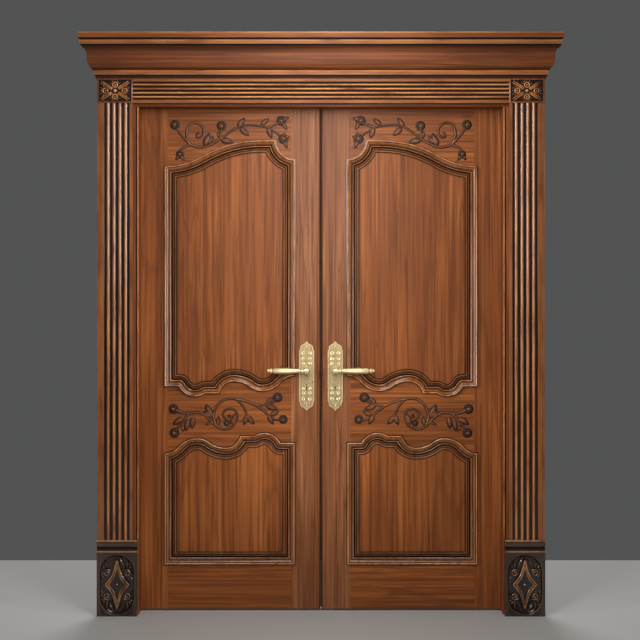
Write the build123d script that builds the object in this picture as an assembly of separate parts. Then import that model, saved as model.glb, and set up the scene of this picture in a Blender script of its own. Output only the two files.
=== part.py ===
"""Carved double door: two panelled leaves in a moulded frame with pilasters, plinth blocks and a cornice.

X runs along the wall, Y through it from the carved side to the plain side, and Z up. The origin is on the
floor, in the middle of the width and of the depth of the whole door set. Sizes are in millimetres. The left
half is modelled, and the right half is its mirror image apart from the lock.
"""

import os

from build123d import *

# Doorway
DOORWAY_WIDTH = 1508
WALL_THICKNESS = 120

# Jambs and their stop
JAMB_THICKNESS = 40
STOP_LAP = 13
STOP_GAP = 1
JAMB_QUIRK_WIDTH = 4
JAMB_QUIRK_INSET = 9
FIXING_HOLE_RADIUS = 4
FIXING_HEIGHT_SHARES = (0.21, 0.79)

# Leaves
LEAF_THICKNESS = 45
HINGE_GAP = 3
TOP_GAP = 3
FLOOR_GAP = 8
MEETING_GAP = 4
MEETING_QUIRK_WIDTH = 5.5
MEETING_QUIRK_DEPTH = 7
STILE_WIDTH = 122
BOTTOM_RAIL_HEIGHT = 187
LOCK_RAIL_HEIGHT = 324
TOP_RAIL_HEIGHT = 141
TENON_LENGTH = 25
TENON_THICKNESS = 14
TENON_HEIGHT = 80
TENON_EDGE = 45
TENON_FIT = 0.2

# Panels and the mouldings planted round them
UPPER_PANEL_HEIGHT = 989
LOWER_PANEL_HEIGHT = 466
UPPER_SHOULDER_DROP = 109
UPPER_NOTCH = 81
WAVE_DEPTH = 86
ARCH_PEAK_SHARE = 0.74
ARCH_INFLECTION_SHARE = 0.395
PANEL_THICKNESS = 25
PANEL_FIT = 0.4
FIELD_RISE = 9
FIELD_SLOPE = 12
FIELD_GROOVE = 2
MOULDING_LAP = 14
MOULDING_WIDTH = 36
MOULDING_HEIGHT = 14
BEAD_WIDTH = 11
COVE_WIDTH = 16
COVE_DEPTH = 16
CURVE_CUTS = 3
PANEL_REBATE = 10
BACK_BEAD_WIDTH = 15

# Places on the wavy edge, as shares of the panel's width and of the wave's depth
WAVE_LOW_SHARES = (0.75, 0.74)
WAVE_CREST_SHARES = (0.53, 0.27)
WAVE_STEP_RIGHT_SHARES = (0.42, 0.85)
WAVE_STEP_LEFT_SHARES = (0.31, 0.85)
WAVE_LOBE_SHARES = (0.235, 1.0)
WAVE_LOBE_LEFT_SHARES = (0.11, 0.51)
WAVE_LEFT_SHARES = (0.0, 0.51)
WAVE_INFLECTION_SHARE = 0.42

# Vine carvings
VINE_RELIEF = 7
STEM_WIDTH = 9
STEM_STEPS = 1
LEAF_WIDTH_SHARE = 0.34
LEAF_SHOULDER_SHARE = 0.4
BUD_RADIUS = 18
BUD_RELIEF = 12
BUD_TOP_SHARE = 0.45
BUD_SIDES = 6
BEAD_SIDES = 8
UPPER_VINE_HEIGHT = 185
UPPER_VINE_LEFT = 22
UPPER_VINE_RIGHT = 16
UPPER_VINE_BELOW = 86
LOWER_VINE_HEIGHT = 181
LOWER_VINE_LEFT = 22
LOWER_VINE_RIGHT = 32
LOWER_VINE_ABOVE = 72

# Places on each vine, as shares of its width and height
UPPER_STEM_SHARES = (
    ((0.165, 0.38), (0.248, 0.31), (0.413, 0.49), (0.537, 0.73), (0.661, 0.82), (0.785, 0.77), (0.938, 0.50)),
    ((0.165, 0.38), (0.136, 0.61), (0.174, 0.84), (0.240, 0.85), (0.281, 0.68), (0.248, 0.53), (0.225, 0.60)),
    ((0.165, 0.38), (0.116, 0.51), (0.041, 0.82)),
    ((0.174, 0.35), (0.116, 0.33), (0.083, 0.14)),
    ((0.413, 0.49), (0.420, 0.60), (0.426, 0.78)),
    ((0.785, 0.77), (0.843, 0.78), (0.921, 0.91)),
)
UPPER_LEAF_SHARES = (
    ((0.285, 0.34), (0.322, 0.60)),
    ((0.318, 0.38), (0.355, 0.57)),
    ((0.421, 0.48), (0.508, 0.43)),
    ((0.562, 0.77), (0.599, 0.97)),
    ((0.579, 0.75), (0.640, 0.58)),
    ((0.752, 0.81), (0.818, 0.94)),
    ((0.810, 0.75), (0.839, 0.52)),
    ((0.083, 0.14), (0.045, 0.01)),
    ((0.083, 0.14), (0.120, 0.01)),
    ((0.921, 0.91), (0.988, 0.98)),
    ((0.921, 0.91), (0.959, 0.72)),
    ((0.938, 0.50), (0.996, 0.56)),
    ((0.938, 0.50), (0.967, 0.30)),
)
UPPER_BUD_SHARES = ((0.041, 0.82), (0.083, 0.14), (0.426, 0.78), (0.921, 0.91), (0.938, 0.50))
LOWER_STEM_SHARES = (
    ((0.470, 0.14), (0.393, 0.26), (0.373, 0.47), (0.406, 0.72), (0.513, 0.88), (0.667, 0.79), (0.812, 0.56),
     (0.966, 0.38)),
    ((0.470, 0.14), (0.568, 0.33), (0.556, 0.60), (0.470, 0.60), (0.504, 0.49)),
    ((0.410, 0.22), (0.342, 0.37), (0.274, 0.52), (0.171, 0.53), (0.030, 0.63)),
    ((0.564, 0.86), (0.628, 0.67), (0.658, 0.47)),
    ((0.726, 0.70), (0.812, 0.72), (0.919, 0.90)),
    ((0.179, 0.53), (0.120, 0.37), (0.038, 0.07)),
)
LOWER_LEAF_SHARES = (
    ((0.658, 0.48), (0.631, 0.26)),
    ((0.658, 0.48), (0.718, 0.28)),
    ((0.821, 0.73), (0.868, 0.90)),
    ((0.821, 0.71), (0.906, 0.63)),
    ((0.838, 0.50), (0.876, 0.28)),
    ((0.845, 0.48), (0.927, 0.57)),
    ((0.120, 0.41), (0.034, 0.28)),
    ((0.103, 0.30), (0.115, 0.10)),
    ((0.187, 0.50), (0.188, 0.20)),
    ((0.363, 0.36), (0.312, 0.70)),
    ((0.345, 0.39), (0.286, 0.62)),
    ((0.376, 0.29), (0.303, 0.26)),
)
LOWER_BUD_SHARES = ((0.030, 0.63), (0.038, 0.07), (0.966, 0.38), (0.919, 0.90), (0.504, 0.51))

# Pilasters and head architrave
PILASTER_WIDTH = 147
PILASTER_THICKNESS = 28
SIDE_REVEAL = 22
HEAD_REVEAL = 10
HEAD_HEIGHT = 101
GROOVE_COUNT = 5
GROOVE_DEPTH = 7
REED_CUTS = 6
PILASTER_FIRST_GROOVE = 18
PILASTER_GROOVE_PITCH = 24
PILASTER_GROOVE_WIDTH = 8
HEAD_FIRST_GROOVE = 16.5
HEAD_GROOVE_PITCH = 17
HEAD_GROOVE_WIDTH = 6
CASING_BEARING = 24
CASING_RELIEF = 3

# Corner blocks
CORNER_THICKNESS = 32
CORNER_MARGIN = 9
CORNER_SINK = 9
CORNER_RIB_WIDTH = 17
CORNER_RING_RADIUS = 19
CORNER_RING_HOLE = 9
CORNER_BEAD_RADIUS = 8
CORNER_RING_REACH_SHARE = 0.27

# Plinth blocks
PLINTH_REVEAL = 3
PLINTH_HEIGHT = 315
PLINTH_THICKNESS = 40
PLINTH_CAP_THICKNESS = 44
PLINTH_CAP_HEIGHT = 8
PLINTH_BAND_HEIGHT = 24
PLINTH_GROOVE_HEIGHT = 14
PLINTH_GROOVE_DEPTH = 9
PLINTH_BEAD_HEIGHT = 7
OVAL_WIDTH = 143
OVAL_HEIGHT = 248
OVAL_SINK = 12
STAR_HEIGHT = 198
STAR_WIDTH = 96
STAR_WAIST_SHARE = 0.3
STAR_INNER_SHARE = 0.7
STAR_RELIEF = 9
SCROLL_RADIUS = 15
SCROLL_ACROSS = 40
SCROLL_ABOVE = 47
PLINTH_BEAD_RADIUS = 8

# Cornice, as heights and as reaches beyond the faces of the frame below
CORNICE_BED_HEIGHT = 13
CORNICE_BED_REACH = 5
CORNICE_FILLET_HEIGHT = 20
CORNICE_FILLET_REACH = 13
CORNICE_OGEE_HEIGHT = 97
CORNICE_OGEE_START = 17
CORNICE_OGEE_REACH = 57
CORNICE_SECOND_HEIGHT = 18
CORNICE_SECOND_REACH = 62
CORNICE_GROOVE_HEIGHT = 7
CORNICE_GROOVE_DEPTH = 7
CORNICE_TOP_HEIGHT = 24
CORNICE_REACH = 68

# Casings on the plain side
BACK_CASING_WIDTH = 90
BACK_CASING_THICKNESS = 16
BACK_CASING_EDGE = 5
BACK_CASING_REVEAL = 10

# Hinges
HINGE_HEIGHT = 110
HINGE_HEIGHT_SHARES = (0.115, 0.5, 0.885)
HINGE_PLATE_THICKNESS = 2.5
HINGE_PLATE_DEPTH = 32
HINGE_PIN_BEHIND = 8
KNUCKLE_RADIUS = 7
KNUCKLE_WASHER = 0.6
HINGE_PIN_RADIUS = 4
HINGE_PIN_FIT = 0.06
HINGE_PIN_SHARE = 0.4
KNUCKLE_SIDES = 10

# Handles
HANDLE_BACKSET = 58
SPINDLE_RISE = 23
KEYHOLE_BELOW = 70
PLATE_WIDTH = 63
PLATE_HEIGHT = 294
PLATE_THICKNESS = 5
PLATE_SHOULDER_SHARE = 0.86
PLATE_WAIST_SHARES = (0.72, 0.83)
PLATE_NECK_SHARES = (0.5, 0.92)
ROSE_RADIUS = 17
ROSE_HEIGHT = 5
KEYHOLE_RADIUS = 4
KEYHOLE_SLOT_WIDTH = 4
KEYHOLE_SLOT_LENGTH = 13
NECK_RADIUS = 8
NECK_FIT = 0.06
LEVER_STAND = 52
LEVER_LENGTH = 165
LEVER_HUB_RADIUS = 13
SPINDLE_WIDTH = 8
SPINDLE_FIT = 0.05
SPINDLE_HOLE_RADIUS = 10

# The lever's turned grip, as shares of its length and of its greatest radius
LEVER_RADIUS = 12
LEVER_PROFILE_SHARES = (
    (0.0, 0.65), (0.2, 0.55), (0.66, 1.0), (0.84, 0.8), (0.89, 0.55), (0.94, 0.8), (1.0, 0.35),
)

# Lock in the right leaf, and its strike and bolts in the left one
LOCK_PLATE_WIDTH = 24
LOCK_PLATE_THICKNESS = 3
LOCK_PLATE_HEIGHT = 220
LOCK_CASE_THICKNESS = 16
LOCK_CASE_DEPTH = 84
LOCK_CASE_HEIGHT = 170
LOCK_DROP = 36
LOCK_FIT = 0.3
BOLT_THICKNESS = 12
BOLT_LENGTH = 40
BOLT_FIT = 0.1
LATCH_HEIGHT = 20
LATCH_STAND = 3
LATCH_BEVEL = 2.5
LATCH_DRAW = 13
DEAD_BOLT_HEIGHT = 24
STRIKE_HEIGHT = 170
STRIKE_POCKET_DEPTH = 26
STRIKE_POCKET_ROOM = 1
FLUSH_BOLT_WIDTH = 10
FLUSH_BOLT_FIT = 0.08
FLUSH_BOLT_LENGTH = 180
FLUSH_BOLT_INSET = 14
FLUSH_BOLT_THROW = 14
FLUSH_BOLT_SET_BACK = 1
FLUSH_BOLT_KEEP_ROOM = 1
THUMB_STUD_WIDTH = 6
THUMB_STUD_BELOW = 120
THUMB_SLOT_ROOM = 0.5

# Places worked out from the sizes
STOP_X = -DOORWAY_WIDTH / 2
REBATE_X = STOP_X - STOP_LAP
JAMB_X = STOP_X - JAMB_THICKNESS
LEAF_X0 = REBATE_X + HINGE_GAP
LEAF_X1 = -MEETING_GAP / 2
LEAF_Z0 = FLOOR_GAP
LOWER_SILL = LEAF_Z0 + BOTTOM_RAIL_HEIGHT
LOWER_HEAD = LOWER_SILL + LOWER_PANEL_HEIGHT
UPPER_SILL = LOWER_HEAD + LOCK_RAIL_HEIGHT
UPPER_PEAK = UPPER_SILL + UPPER_PANEL_HEIGHT
LEAF_Z1 = UPPER_PEAK + TOP_RAIL_HEIGHT
REBATE_Z = LEAF_Z1 + TOP_GAP
DOORWAY_HEIGHT = REBATE_Z - STOP_LAP
PILASTER_X1 = STOP_X - SIDE_REVEAL
PILASTER_X0 = PILASTER_X1 - PILASTER_WIDTH
HEAD_Z0 = DOORWAY_HEIGHT + HEAD_REVEAL
HEAD_Z1 = HEAD_Z0 + HEAD_HEIGHT
JAMB_TOP = DOORWAY_HEIGHT + JAMB_THICKNESS
SPINDLE_X = LEAF_X1 - HANDLE_BACKSET
PLATE_MIDDLE = UPPER_SILL
SPINDLE_HEIGHT = PLATE_MIDDLE + SPINDLE_RISE
LOCK_MIDDLE = SPINDLE_HEIGHT - LOCK_DROP

# The depth is shared evenly on both sides of the origin
FRONT_DEPTH = PILASTER_THICKNESS + CORNICE_REACH
BACK_DEPTH = WALL_THICKNESS + LEVER_STAND + LEVER_RADIUS
WALL_Y = (FRONT_DEPTH - BACK_DEPTH) / 2
BACK_Y = WALL_Y + WALL_THICKNESS
LEAF_Y0 = BACK_Y - LEAF_THICKNESS
LEAF_MIDDLE = BACK_Y - LEAF_THICKNESS / 2
STOP_Y = LEAF_Y0 - STOP_GAP
PANEL_Y0 = LEAF_MIDDLE - PANEL_THICKNESS / 2
HINGE_X = REBATE_X + HINGE_GAP / 2
HINGE_Y = BACK_Y + HINGE_PIN_BEHIND
STILE_X0 = LEAF_X0 + STILE_WIDTH
STILE_X1 = LEAF_X1 - STILE_WIDTH
PANEL_X0 = STILE_X0 - MOULDING_LAP
PANEL_X1 = STILE_X1 + MOULDING_LAP
PANEL_WIDTH = PANEL_X1 - PANEL_X0


def box(x0, x1, y0, y1, z0, z1):
    """Box between two opposite corners."""
    middle = Pos((x0 + x1) / 2, (y0 + y1) / 2, (z0 + z1) / 2)
    return middle * Box(abs(x1 - x0), abs(y1 - y0), abs(z1 - z0))


def slab(outline, front, back):
    """Solid of an outline drawn as X and Z, from one depth to another."""
    return Pos(0, front, 0) * extrude(Plane.XZ * outline, amount=back - front, dir=(0, 1, 0))


def polygon(points):
    """Face inside a closed line of points."""
    return make_face(Polyline(*points, close=True))


def rectangle(x0, x1, z0, z1):
    """Upright rectangle drawn as X and Z."""
    return polygon([(x0, z0), (x1, z0), (x1, z1), (x0, z1)])


def rod(x, z, radius, front, back):
    """Round rod along Y."""
    return slab(Pos(x, z) * Circle(radius), front, back)


def stud(x, z, radius, front, back):
    """Eight-sided rod along Y."""
    return slab(Pos(x, z) * RegularPolygon(radius, BEAD_SIDES), front, back)


def corners(plane, radius, sides):
    """Corners of a regular polygon drawn on a plane."""
    return [vertex.center() for vertex in (plane * RegularPolygon(radius, sides)).vertices()]


def faceted(sections, split):
    """Solid with flat sides through polygons of as many corners each, whole or split in two."""
    outlines = [sections[0], sections[-1]]
    for start, end in zip(sections, sections[1:]):
        for number in range(len(start)):
            side = [start[number - 1], start[number], end[number], end[number - 1]]
            outlines += [side[:3], [side[0]] + side[2:]] if split else [side]
    return Solid(Shell([Face(Wire.make_polygon(outline, close=True)) for outline in outlines]))


def flip_depth(shape):
    """The shape turned from the carved side of a leaf to its plain side."""
    return mirror(shape, about=Plane.XZ.offset(-LEAF_MIDDLE))


def flip_side(shape):
    """The shape moved from the left half to the right half."""
    return mirror(shape, about=Plane.YZ)


# Panel outlines


def wave_point(shares):
    """Point on the wavy edge under the upper panel."""
    return Vector(PANEL_X0 + shares[0] * PANEL_WIDTH, UPPER_SILL - shares[1] * WAVE_DEPTH)


def wave_edges():
    """The wavy edge under the upper panel, from the meeting side to the hinge side."""
    left = Vector(-1, 0)
    start = Vector(PANEL_X1, UPPER_SILL)
    low = wave_point(WAVE_LOW_SHARES)
    crest = wave_point(WAVE_CREST_SHARES)
    step_right = wave_point(WAVE_STEP_RIGHT_SHARES)
    step_left = wave_point(WAVE_STEP_LEFT_SHARES)
    lobe_left = wave_point(WAVE_LOBE_LEFT_SHARES)
    fall = start + (low - start) * WAVE_INFLECTION_SHARE
    rise = low + (crest - low) * WAVE_INFLECTION_SHARE
    fall_arc = TangentArc(start, fall, tangent=left)
    rise_arc = TangentArc(low, rise, tangent=left)
    return [
        fall_arc,
        TangentArc(fall, low, tangent=fall_arc % 1),
        rise_arc,
        TangentArc(rise, crest, tangent=rise_arc % 1),
        TangentArc(crest, step_right, tangent=left),
        Line(step_right, step_left),
        ThreePointArc(step_left, wave_point(WAVE_LOBE_SHARES), lobe_left),
        Line(lobe_left, wave_point(WAVE_LEFT_SHARES)),
    ]


def panel_edges():
    """Outer edge of the upper moulding: an ogee arch with a scooped corner over the wave."""
    shoulder = Vector(PANEL_X0, UPPER_PEAK - UPPER_SHOULDER_DROP)
    peak = Vector(PANEL_X0 + ARCH_PEAK_SHARE * PANEL_WIDTH, UPPER_PEAK)
    turn = shoulder + (peak - shoulder) * ARCH_INFLECTION_SHARE
    rise_arc = TangentArc(shoulder, turn, tangent=(1, 0))
    crown_arc = TangentArc(turn, peak, tangent=rise_arc % 1)
    scoop = CenterArc((PANEL_X1, UPPER_PEAK), UPPER_NOTCH, 180, 90)
    edges = [rise_arc, crown_arc, Line(peak, scoop @ 0), scoop, Line(scoop @ 1, (PANEL_X1, UPPER_SILL))]
    edges += wave_edges()
    return edges + [Line(edges[-1] @ 1, shoulder)]


def inset(outline, distance):
    """The outline moved in by a distance, with its corners kept sharp."""
    if distance == 0:
        return outline
    return offset(outline, amount=-distance, kind=Kind.INTERSECTION)


def upper_outline(distance):
    """Outer edge of the upper moulding, moved in by a distance."""
    return inset(make_face(panel_edges()), distance)


def cut_points(edges):
    """Points along some edges, with a few straight cuts for each curve."""
    points = []
    for edge in edges:
        cuts = CURVE_CUTS if edge.geom_type == GeomType.CIRCLE else 1
        points += [edge @ (cut / cuts) for cut in range(cuts)]
    return points


def upper_opening(distance):
    """The same with straight cuts for its curves, for the edges hidden under the moulding."""
    return inset(polygon(cut_points(panel_edges())), distance)


def turned(outline, distance):
    """Foot of an upper outline turned half round into the head of the lower one, over a square bottom."""
    square = UPPER_SILL + LOWER_HEAD - LOWER_SILL - distance
    kept = outline(distance) & rectangle(PANEL_X0, PANEL_X1, UPPER_SILL - WAVE_DEPTH, square)
    centre = Pos((PANEL_X0 + PANEL_X1) / 2, (UPPER_SILL + LOWER_HEAD) / 2)
    return centre * Rot(0, 0, 180) * centre.inverse() * kept


def lower_outline(distance):
    """Outer edge of the lower moulding, moved in by a distance."""
    return turned(upper_outline, distance)


def lower_opening(distance):
    """Edge of the lower opening under its moulding, moved in by a distance."""
    return turned(upper_opening, distance)


# Leaf pieces


def funnel(outline, front_inset, front, back_inset, back):
    """Solid that narrows from one inset of an outline to a deeper one, in flat cuts."""
    sections = []
    for distance, depth in ((front_inset, front), (back_inset, back)):
        points = cut_points(outline(distance).face().outer_wire().order_edges())
        sections.append([Vector(point.X, depth, point.Y) for point in points])
    return faceted(sections, True)


def moulding(outline, opening):
    """Moulding with a raised bead and a hollow, lapping the stiles and rails."""
    top = LEAF_Y0 - MOULDING_HEIGHT
    cove = top + COVE_DEPTH
    cove_inset = BEAD_WIDTH + COVE_WIDTH
    ring = slab(outline(0), top, LEAF_Y0)
    ring += slab(opening(MOULDING_LAP + PANEL_FIT), LEAF_Y0, PANEL_Y0)
    ring -= funnel(outline, BEAD_WIDTH, top, cove_inset, cove)
    ring -= funnel(outline, cove_inset, cove, MOULDING_WIDTH, PANEL_Y0)
    return ring.solid()


def panel_levels():
    """Bottom and top of the rebates for the upper and lower panels."""
    reach = MOULDING_LAP - PANEL_REBATE
    upper = (UPPER_SILL - WAVE_DEPTH + reach, UPPER_PEAK - reach)
    lower = (LOWER_SILL + reach, LOWER_HEAD + WAVE_DEPTH - reach)
    return upper, lower


def panel_room(level, front, back, margin):
    """Block inside the rebate for a panel, in from its edges by a margin."""
    x0 = STILE_X0 - PANEL_REBATE + margin
    x1 = STILE_X1 + PANEL_REBATE - margin
    return box(x0, x1, front, back, level[0] + margin, level[1] - margin)


def panel(level, outline):
    """Panel set in from the plain side, with a raised field that follows its moulding."""
    foot = MOULDING_WIDTH + FIELD_GROOVE
    field = funnel(outline, foot + FIELD_SLOPE, PANEL_Y0 - FIELD_RISE, foot, PANEL_Y0)
    return (panel_room(level, PANEL_Y0, PANEL_Y0 + PANEL_THICKNESS, PANEL_FIT) + field).solid()


def back_beads():
    """Square beads that hold both panels in their rebates."""
    front = PANEL_Y0 + PANEL_THICKNESS
    beads = []
    for level in panel_levels():
        bead = panel_room(level, front, BACK_Y, 0) - panel_room(level, front, BACK_Y, BACK_BEAD_WIDTH)
        beads.append(bead.solid())
    return Compound(beads)


def tenon(x, side, z0, z1, fit):
    """Tenon that runs from a rail's end into a stile, or the mortise for it."""
    half = TENON_THICKNESS / 2 + fit
    return box(x, x + side * (TENON_LENGTH + fit), LEAF_MIDDLE - half, LEAF_MIDDLE + half, z0 - fit, z1 + fit)


def tenon_heights():
    """Bottom and top of the tenons of the top, lock and bottom rails."""
    top = LEAF_Z1 - TENON_EDGE
    middle = (UPPER_SILL + LOWER_HEAD) / 2
    bottom = LEAF_Z0 + TENON_EDGE
    return (
        (top - TENON_HEIGHT, top),
        (middle - TENON_HEIGHT / 2, middle + TENON_HEIGHT / 2),
        (bottom, bottom + TENON_HEIGHT),
    )


def rails():
    """Top, lock and bottom rails, with shaped edges round the panel openings."""
    upper_middle = (UPPER_PEAK + UPPER_SILL) / 2
    lower_middle = (LOWER_HEAD + LOWER_SILL) / 2
    levels = ((upper_middle, LEAF_Z1), (lower_middle, upper_middle), (LEAF_Z0, lower_middle))
    openings = upper_opening(MOULDING_LAP) + lower_opening(MOULDING_LAP)
    pieces = []
    for (low, high), (tenon_low, tenon_high) in zip(levels, tenon_heights()):
        rail = slab(rectangle(STILE_X0, STILE_X1, low, high) - openings, LEAF_Y0, BACK_Y)
        for level in panel_levels():
            rail -= panel_room(level, PANEL_Y0, BACK_Y, 0)
        rail += tenon(STILE_X0, -1, tenon_low, tenon_high, 0)
        rail += tenon(STILE_X1, 1, tenon_low, tenon_high, 0)
        pieces.append(rail)
    return pieces


def hinge_heights():
    """Middle of each hinge."""
    return [LEAF_Z0 + share * (LEAF_Z1 - LEAF_Z0) for share in HINGE_HEIGHT_SHARES]


def hinge_stile():
    """Stile on the hinge side, recessed for the hinge plates and mortised for the rails."""
    stile = box(LEAF_X0, STILE_X0, LEAF_Y0, BACK_Y, LEAF_Z0, LEAF_Z1)
    for level in panel_levels():
        stile -= panel_room(level, PANEL_Y0, BACK_Y, 0)
    for low, high in tenon_heights():
        stile -= tenon(STILE_X0, -1, low, high, TENON_FIT)
    for height in hinge_heights():
        stile -= plate_recess(LEAF_X0, 1, height)
    return stile


def meeting_stile():
    """Stile on the meeting side, with a quirk down its front edge and the handle's holes."""
    stile = box(STILE_X1, LEAF_X1, LEAF_Y0, BACK_Y, LEAF_Z0, LEAF_Z1)
    quirk_y = LEAF_Y0 + MEETING_QUIRK_DEPTH
    stile -= box(LEAF_X1 - MEETING_QUIRK_WIDTH, LEAF_X1, LEAF_Y0, quirk_y, LEAF_Z0, LEAF_Z1)
    for level in panel_levels():
        stile -= panel_room(level, PANEL_Y0, BACK_Y, 0)
    for low, high in tenon_heights():
        stile -= tenon(STILE_X1, 1, low, high, TENON_FIT)
    stile -= stud(SPINDLE_X, SPINDLE_HEIGHT, SPINDLE_HOLE_RADIUS, LEAF_Y0, BACK_Y)
    return stile


# Vine carvings


def vine(left, right, base, height, stems, leaves, buds):
    """Carved vine planted on a rail: flat stems, pointed leaves and raised buds."""

    def place(shares):
        return Vector(left + shares[0] * (right - left), base + shares[1] * height)

    outline = None
    for stem in stems:
        band = ribbon([place(shares) for shares in stem])
        outline = band if outline is None else outline + band
    for foot, tip in leaves:
        outline += leaf_face(place(foot), place(tip))
    for bud in buds:
        outline += bud_face(place(bud), BUD_RADIUS)
    carving = slab(outline, LEAF_Y0 - VINE_RELIEF, LEAF_Y0)
    for bud in buds:
        carving += bud_boss(place(bud))
    return carving.solid()


def ribbon(points):
    """Stem of an even width along a smooth line through some points."""
    path = Spline(*points)
    steps = round(STEM_STEPS * (len(points) - 1))
    left = []
    right = []
    for step in range(steps + 1):
        share = step / steps
        along = path % share
        across = Vector(-along.Y, along.X) * (STEM_WIDTH / 2)
        left.append(path @ share + across)
        right.append(path @ share - across)
    return polygon(left + right[::-1])


def leaf_face(foot, tip):
    """Pointed leaf whose foot is sunk in its stem."""
    foot -= (tip - foot).normalized() * (STEM_WIDTH / 2)
    along = tip - foot
    across = Vector(-along.Y, along.X) * (LEAF_WIDTH_SHARE / 2)
    shoulder = foot + along * LEAF_SHOULDER_SHARE
    return polygon([foot, shoulder - across, tip, shoulder + across])


def bud_face(centre, radius):
    """Outline of a bud."""
    return Pos(centre.X, centre.Y) * RegularPolygon(radius, BUD_SIDES)


def bud_boss(centre):
    """Raised middle of a bud, narrowing to its top."""
    foot = Plane(origin=(centre.X, LEAF_Y0 - VINE_RELIEF, centre.Y), z_dir=(0, -1, 0))
    top = Plane(origin=(centre.X, LEAF_Y0 - BUD_RELIEF, centre.Y), z_dir=(0, -1, 0))
    top_radius = BUD_RADIUS * BUD_TOP_SHARE
    return faceted([corners(foot, BUD_RADIUS, BUD_SIDES), corners(top, top_radius, BUD_SIDES)], False)


# Hinges


def plate_recess(x, side, height):
    """Room for a hinge plate in the edge of a stile or a jamb."""
    half = HINGE_HEIGHT / 2
    y0 = BACK_Y - HINGE_PLATE_DEPTH
    return box(x, x + side * HINGE_PLATE_THICKNESS, y0, BACK_Y, height - half, height + half)


def hinge_half(x, side, height, knuckle_low, knuckle_high):
    """Hinge plate set in an edge, with its arm and its knuckle."""
    arm = polygon([
        (x, BACK_Y), (x + side * HINGE_PLATE_THICKNESS, BACK_Y), (x + side * HINGE_PLATE_THICKNESS, HINGE_Y),
        (x, HINGE_Y),
    ])
    section = arm + Pos(HINGE_X, HINGE_Y) * RegularPolygon(KNUCKLE_RADIUS, KNUCKLE_SIDES)
    knuckle = Pos(0, 0, knuckle_low) * extrude(section, amount=knuckle_high - knuckle_low, dir=(0, 0, 1))
    return plate_recess(x, side, height) + knuckle


def hinge_halves():
    """Jamb halves with their fixed pins, and leaf halves that turn on them."""
    jamb_halves = []
    leaf_halves = []
    for height in hinge_heights():
        low = height - HINGE_HEIGHT / 2
        high = height + HINGE_HEIGHT / 2
        split = height - KNUCKLE_WASHER / 2
        pin_length = HINGE_HEIGHT * HINGE_PIN_SHARE
        jamb_half = hinge_half(REBATE_X, -1, height, low, split)
        pin = RegularPolygon(HINGE_PIN_RADIUS, KNUCKLE_SIDES)
        jamb_half += Pos(HINGE_X, HINGE_Y, split) * extrude(pin, amount=pin_length)
        leaf_half = hinge_half(LEAF_X0, 1, height, split + KNUCKLE_WASHER, high)
        bore = RegularPolygon(HINGE_PIN_RADIUS + HINGE_PIN_FIT, KNUCKLE_SIDES, major_radius=False)
        leaf_half -= Pos(HINGE_X, HINGE_Y, split) * extrude(bore, amount=pin_length + KNUCKLE_WASHER)
        jamb_halves.append(jamb_half.solid())
        leaf_halves.append(leaf_half.solid())
    return Compound(jamb_halves), Compound(leaf_halves)


# Handles


def handle_plate():
    """Plate with a rose round the spindle and a keyhole below it."""
    half_width = PLATE_WIDTH / 2
    half_height = PLATE_HEIGHT / 2
    shoulder = (half_width, half_height * PLATE_WAIST_SHARES[0])
    waist = (half_width * PLATE_SHOULDER_SHARE, half_height * PLATE_WAIST_SHARES[1])
    neck = (half_width * PLATE_NECK_SHARES[0], half_height * PLATE_NECK_SHARES[1])
    side = [shoulder, waist, neck, (0, half_height)]
    right = [(x, -z) for x, z in reversed(side)] + side[:-1]
    points = right + [(-x, -z) for x, z in right]
    outline = Pos(SPINDLE_X, PLATE_MIDDLE) * polygon(points)
    plate = slab(outline, LEAF_Y0 - PLATE_THICKNESS, LEAF_Y0)
    rose_front = LEAF_Y0 - PLATE_THICKNESS - ROSE_HEIGHT
    plate += stud(SPINDLE_X, SPINDLE_HEIGHT, ROSE_RADIUS, rose_front, LEAF_Y0)
    hole = RegularPolygon(NECK_RADIUS + NECK_FIT, BEAD_SIDES, major_radius=False)
    plate -= slab(Pos(SPINDLE_X, SPINDLE_HEIGHT) * hole, rose_front, LEAF_Y0)
    plate -= keyhole(LEAF_Y0 - PLATE_THICKNESS, LEAF_Y0)
    return plate


def keyhole(front, back):
    """Keyhole from one depth to another."""
    z = SPINDLE_HEIGHT - KEYHOLE_BELOW
    half = KEYHOLE_SLOT_WIDTH / 2
    outline = Pos(SPINDLE_X, z) * RegularPolygon(KEYHOLE_RADIUS, BEAD_SIDES)
    outline += rectangle(SPINDLE_X - half, SPINDLE_X + half, z - KEYHOLE_SLOT_LENGTH, z)
    return slab(outline, front, back)


def lever():
    """Lever on the carved side: a neck through the rose, a hub and an eight-sided shaped grip."""
    grip_y = LEAF_Y0 - LEVER_STAND
    sections = []
    for share, radius in LEVER_PROFILE_SHARES:
        place = Plane(origin=(SPINDLE_X - share * LEVER_LENGTH, grip_y, SPINDLE_HEIGHT), z_dir=(-1, 0, 0))
        sections.append(corners(place, radius * LEVER_RADIUS, BEAD_SIDES))
    neck = rod(SPINDLE_X, SPINDLE_HEIGHT, NECK_RADIUS, grip_y, LEAF_Y0)
    hub = stud(SPINDLE_X, SPINDLE_HEIGHT, LEVER_HUB_RADIUS, grip_y - LEVER_RADIUS, grip_y + LEVER_RADIUS)
    return faceted(sections, False) + neck + hub - spindle(SPINDLE_FIT)


def spindle(fit):
    """Square spindle through the leaf into both levers, or the hole for it."""
    half = SPINDLE_WIDTH / 2 + fit
    reach = LEVER_STAND / 2 + fit
    outline = rectangle(SPINDLE_X - half, SPINDLE_X + half, SPINDLE_HEIGHT - half, SPINDLE_HEIGHT + half)
    return slab(outline, LEAF_Y0 - reach, BACK_Y + reach)


# Lock, strike and bolts


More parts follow.
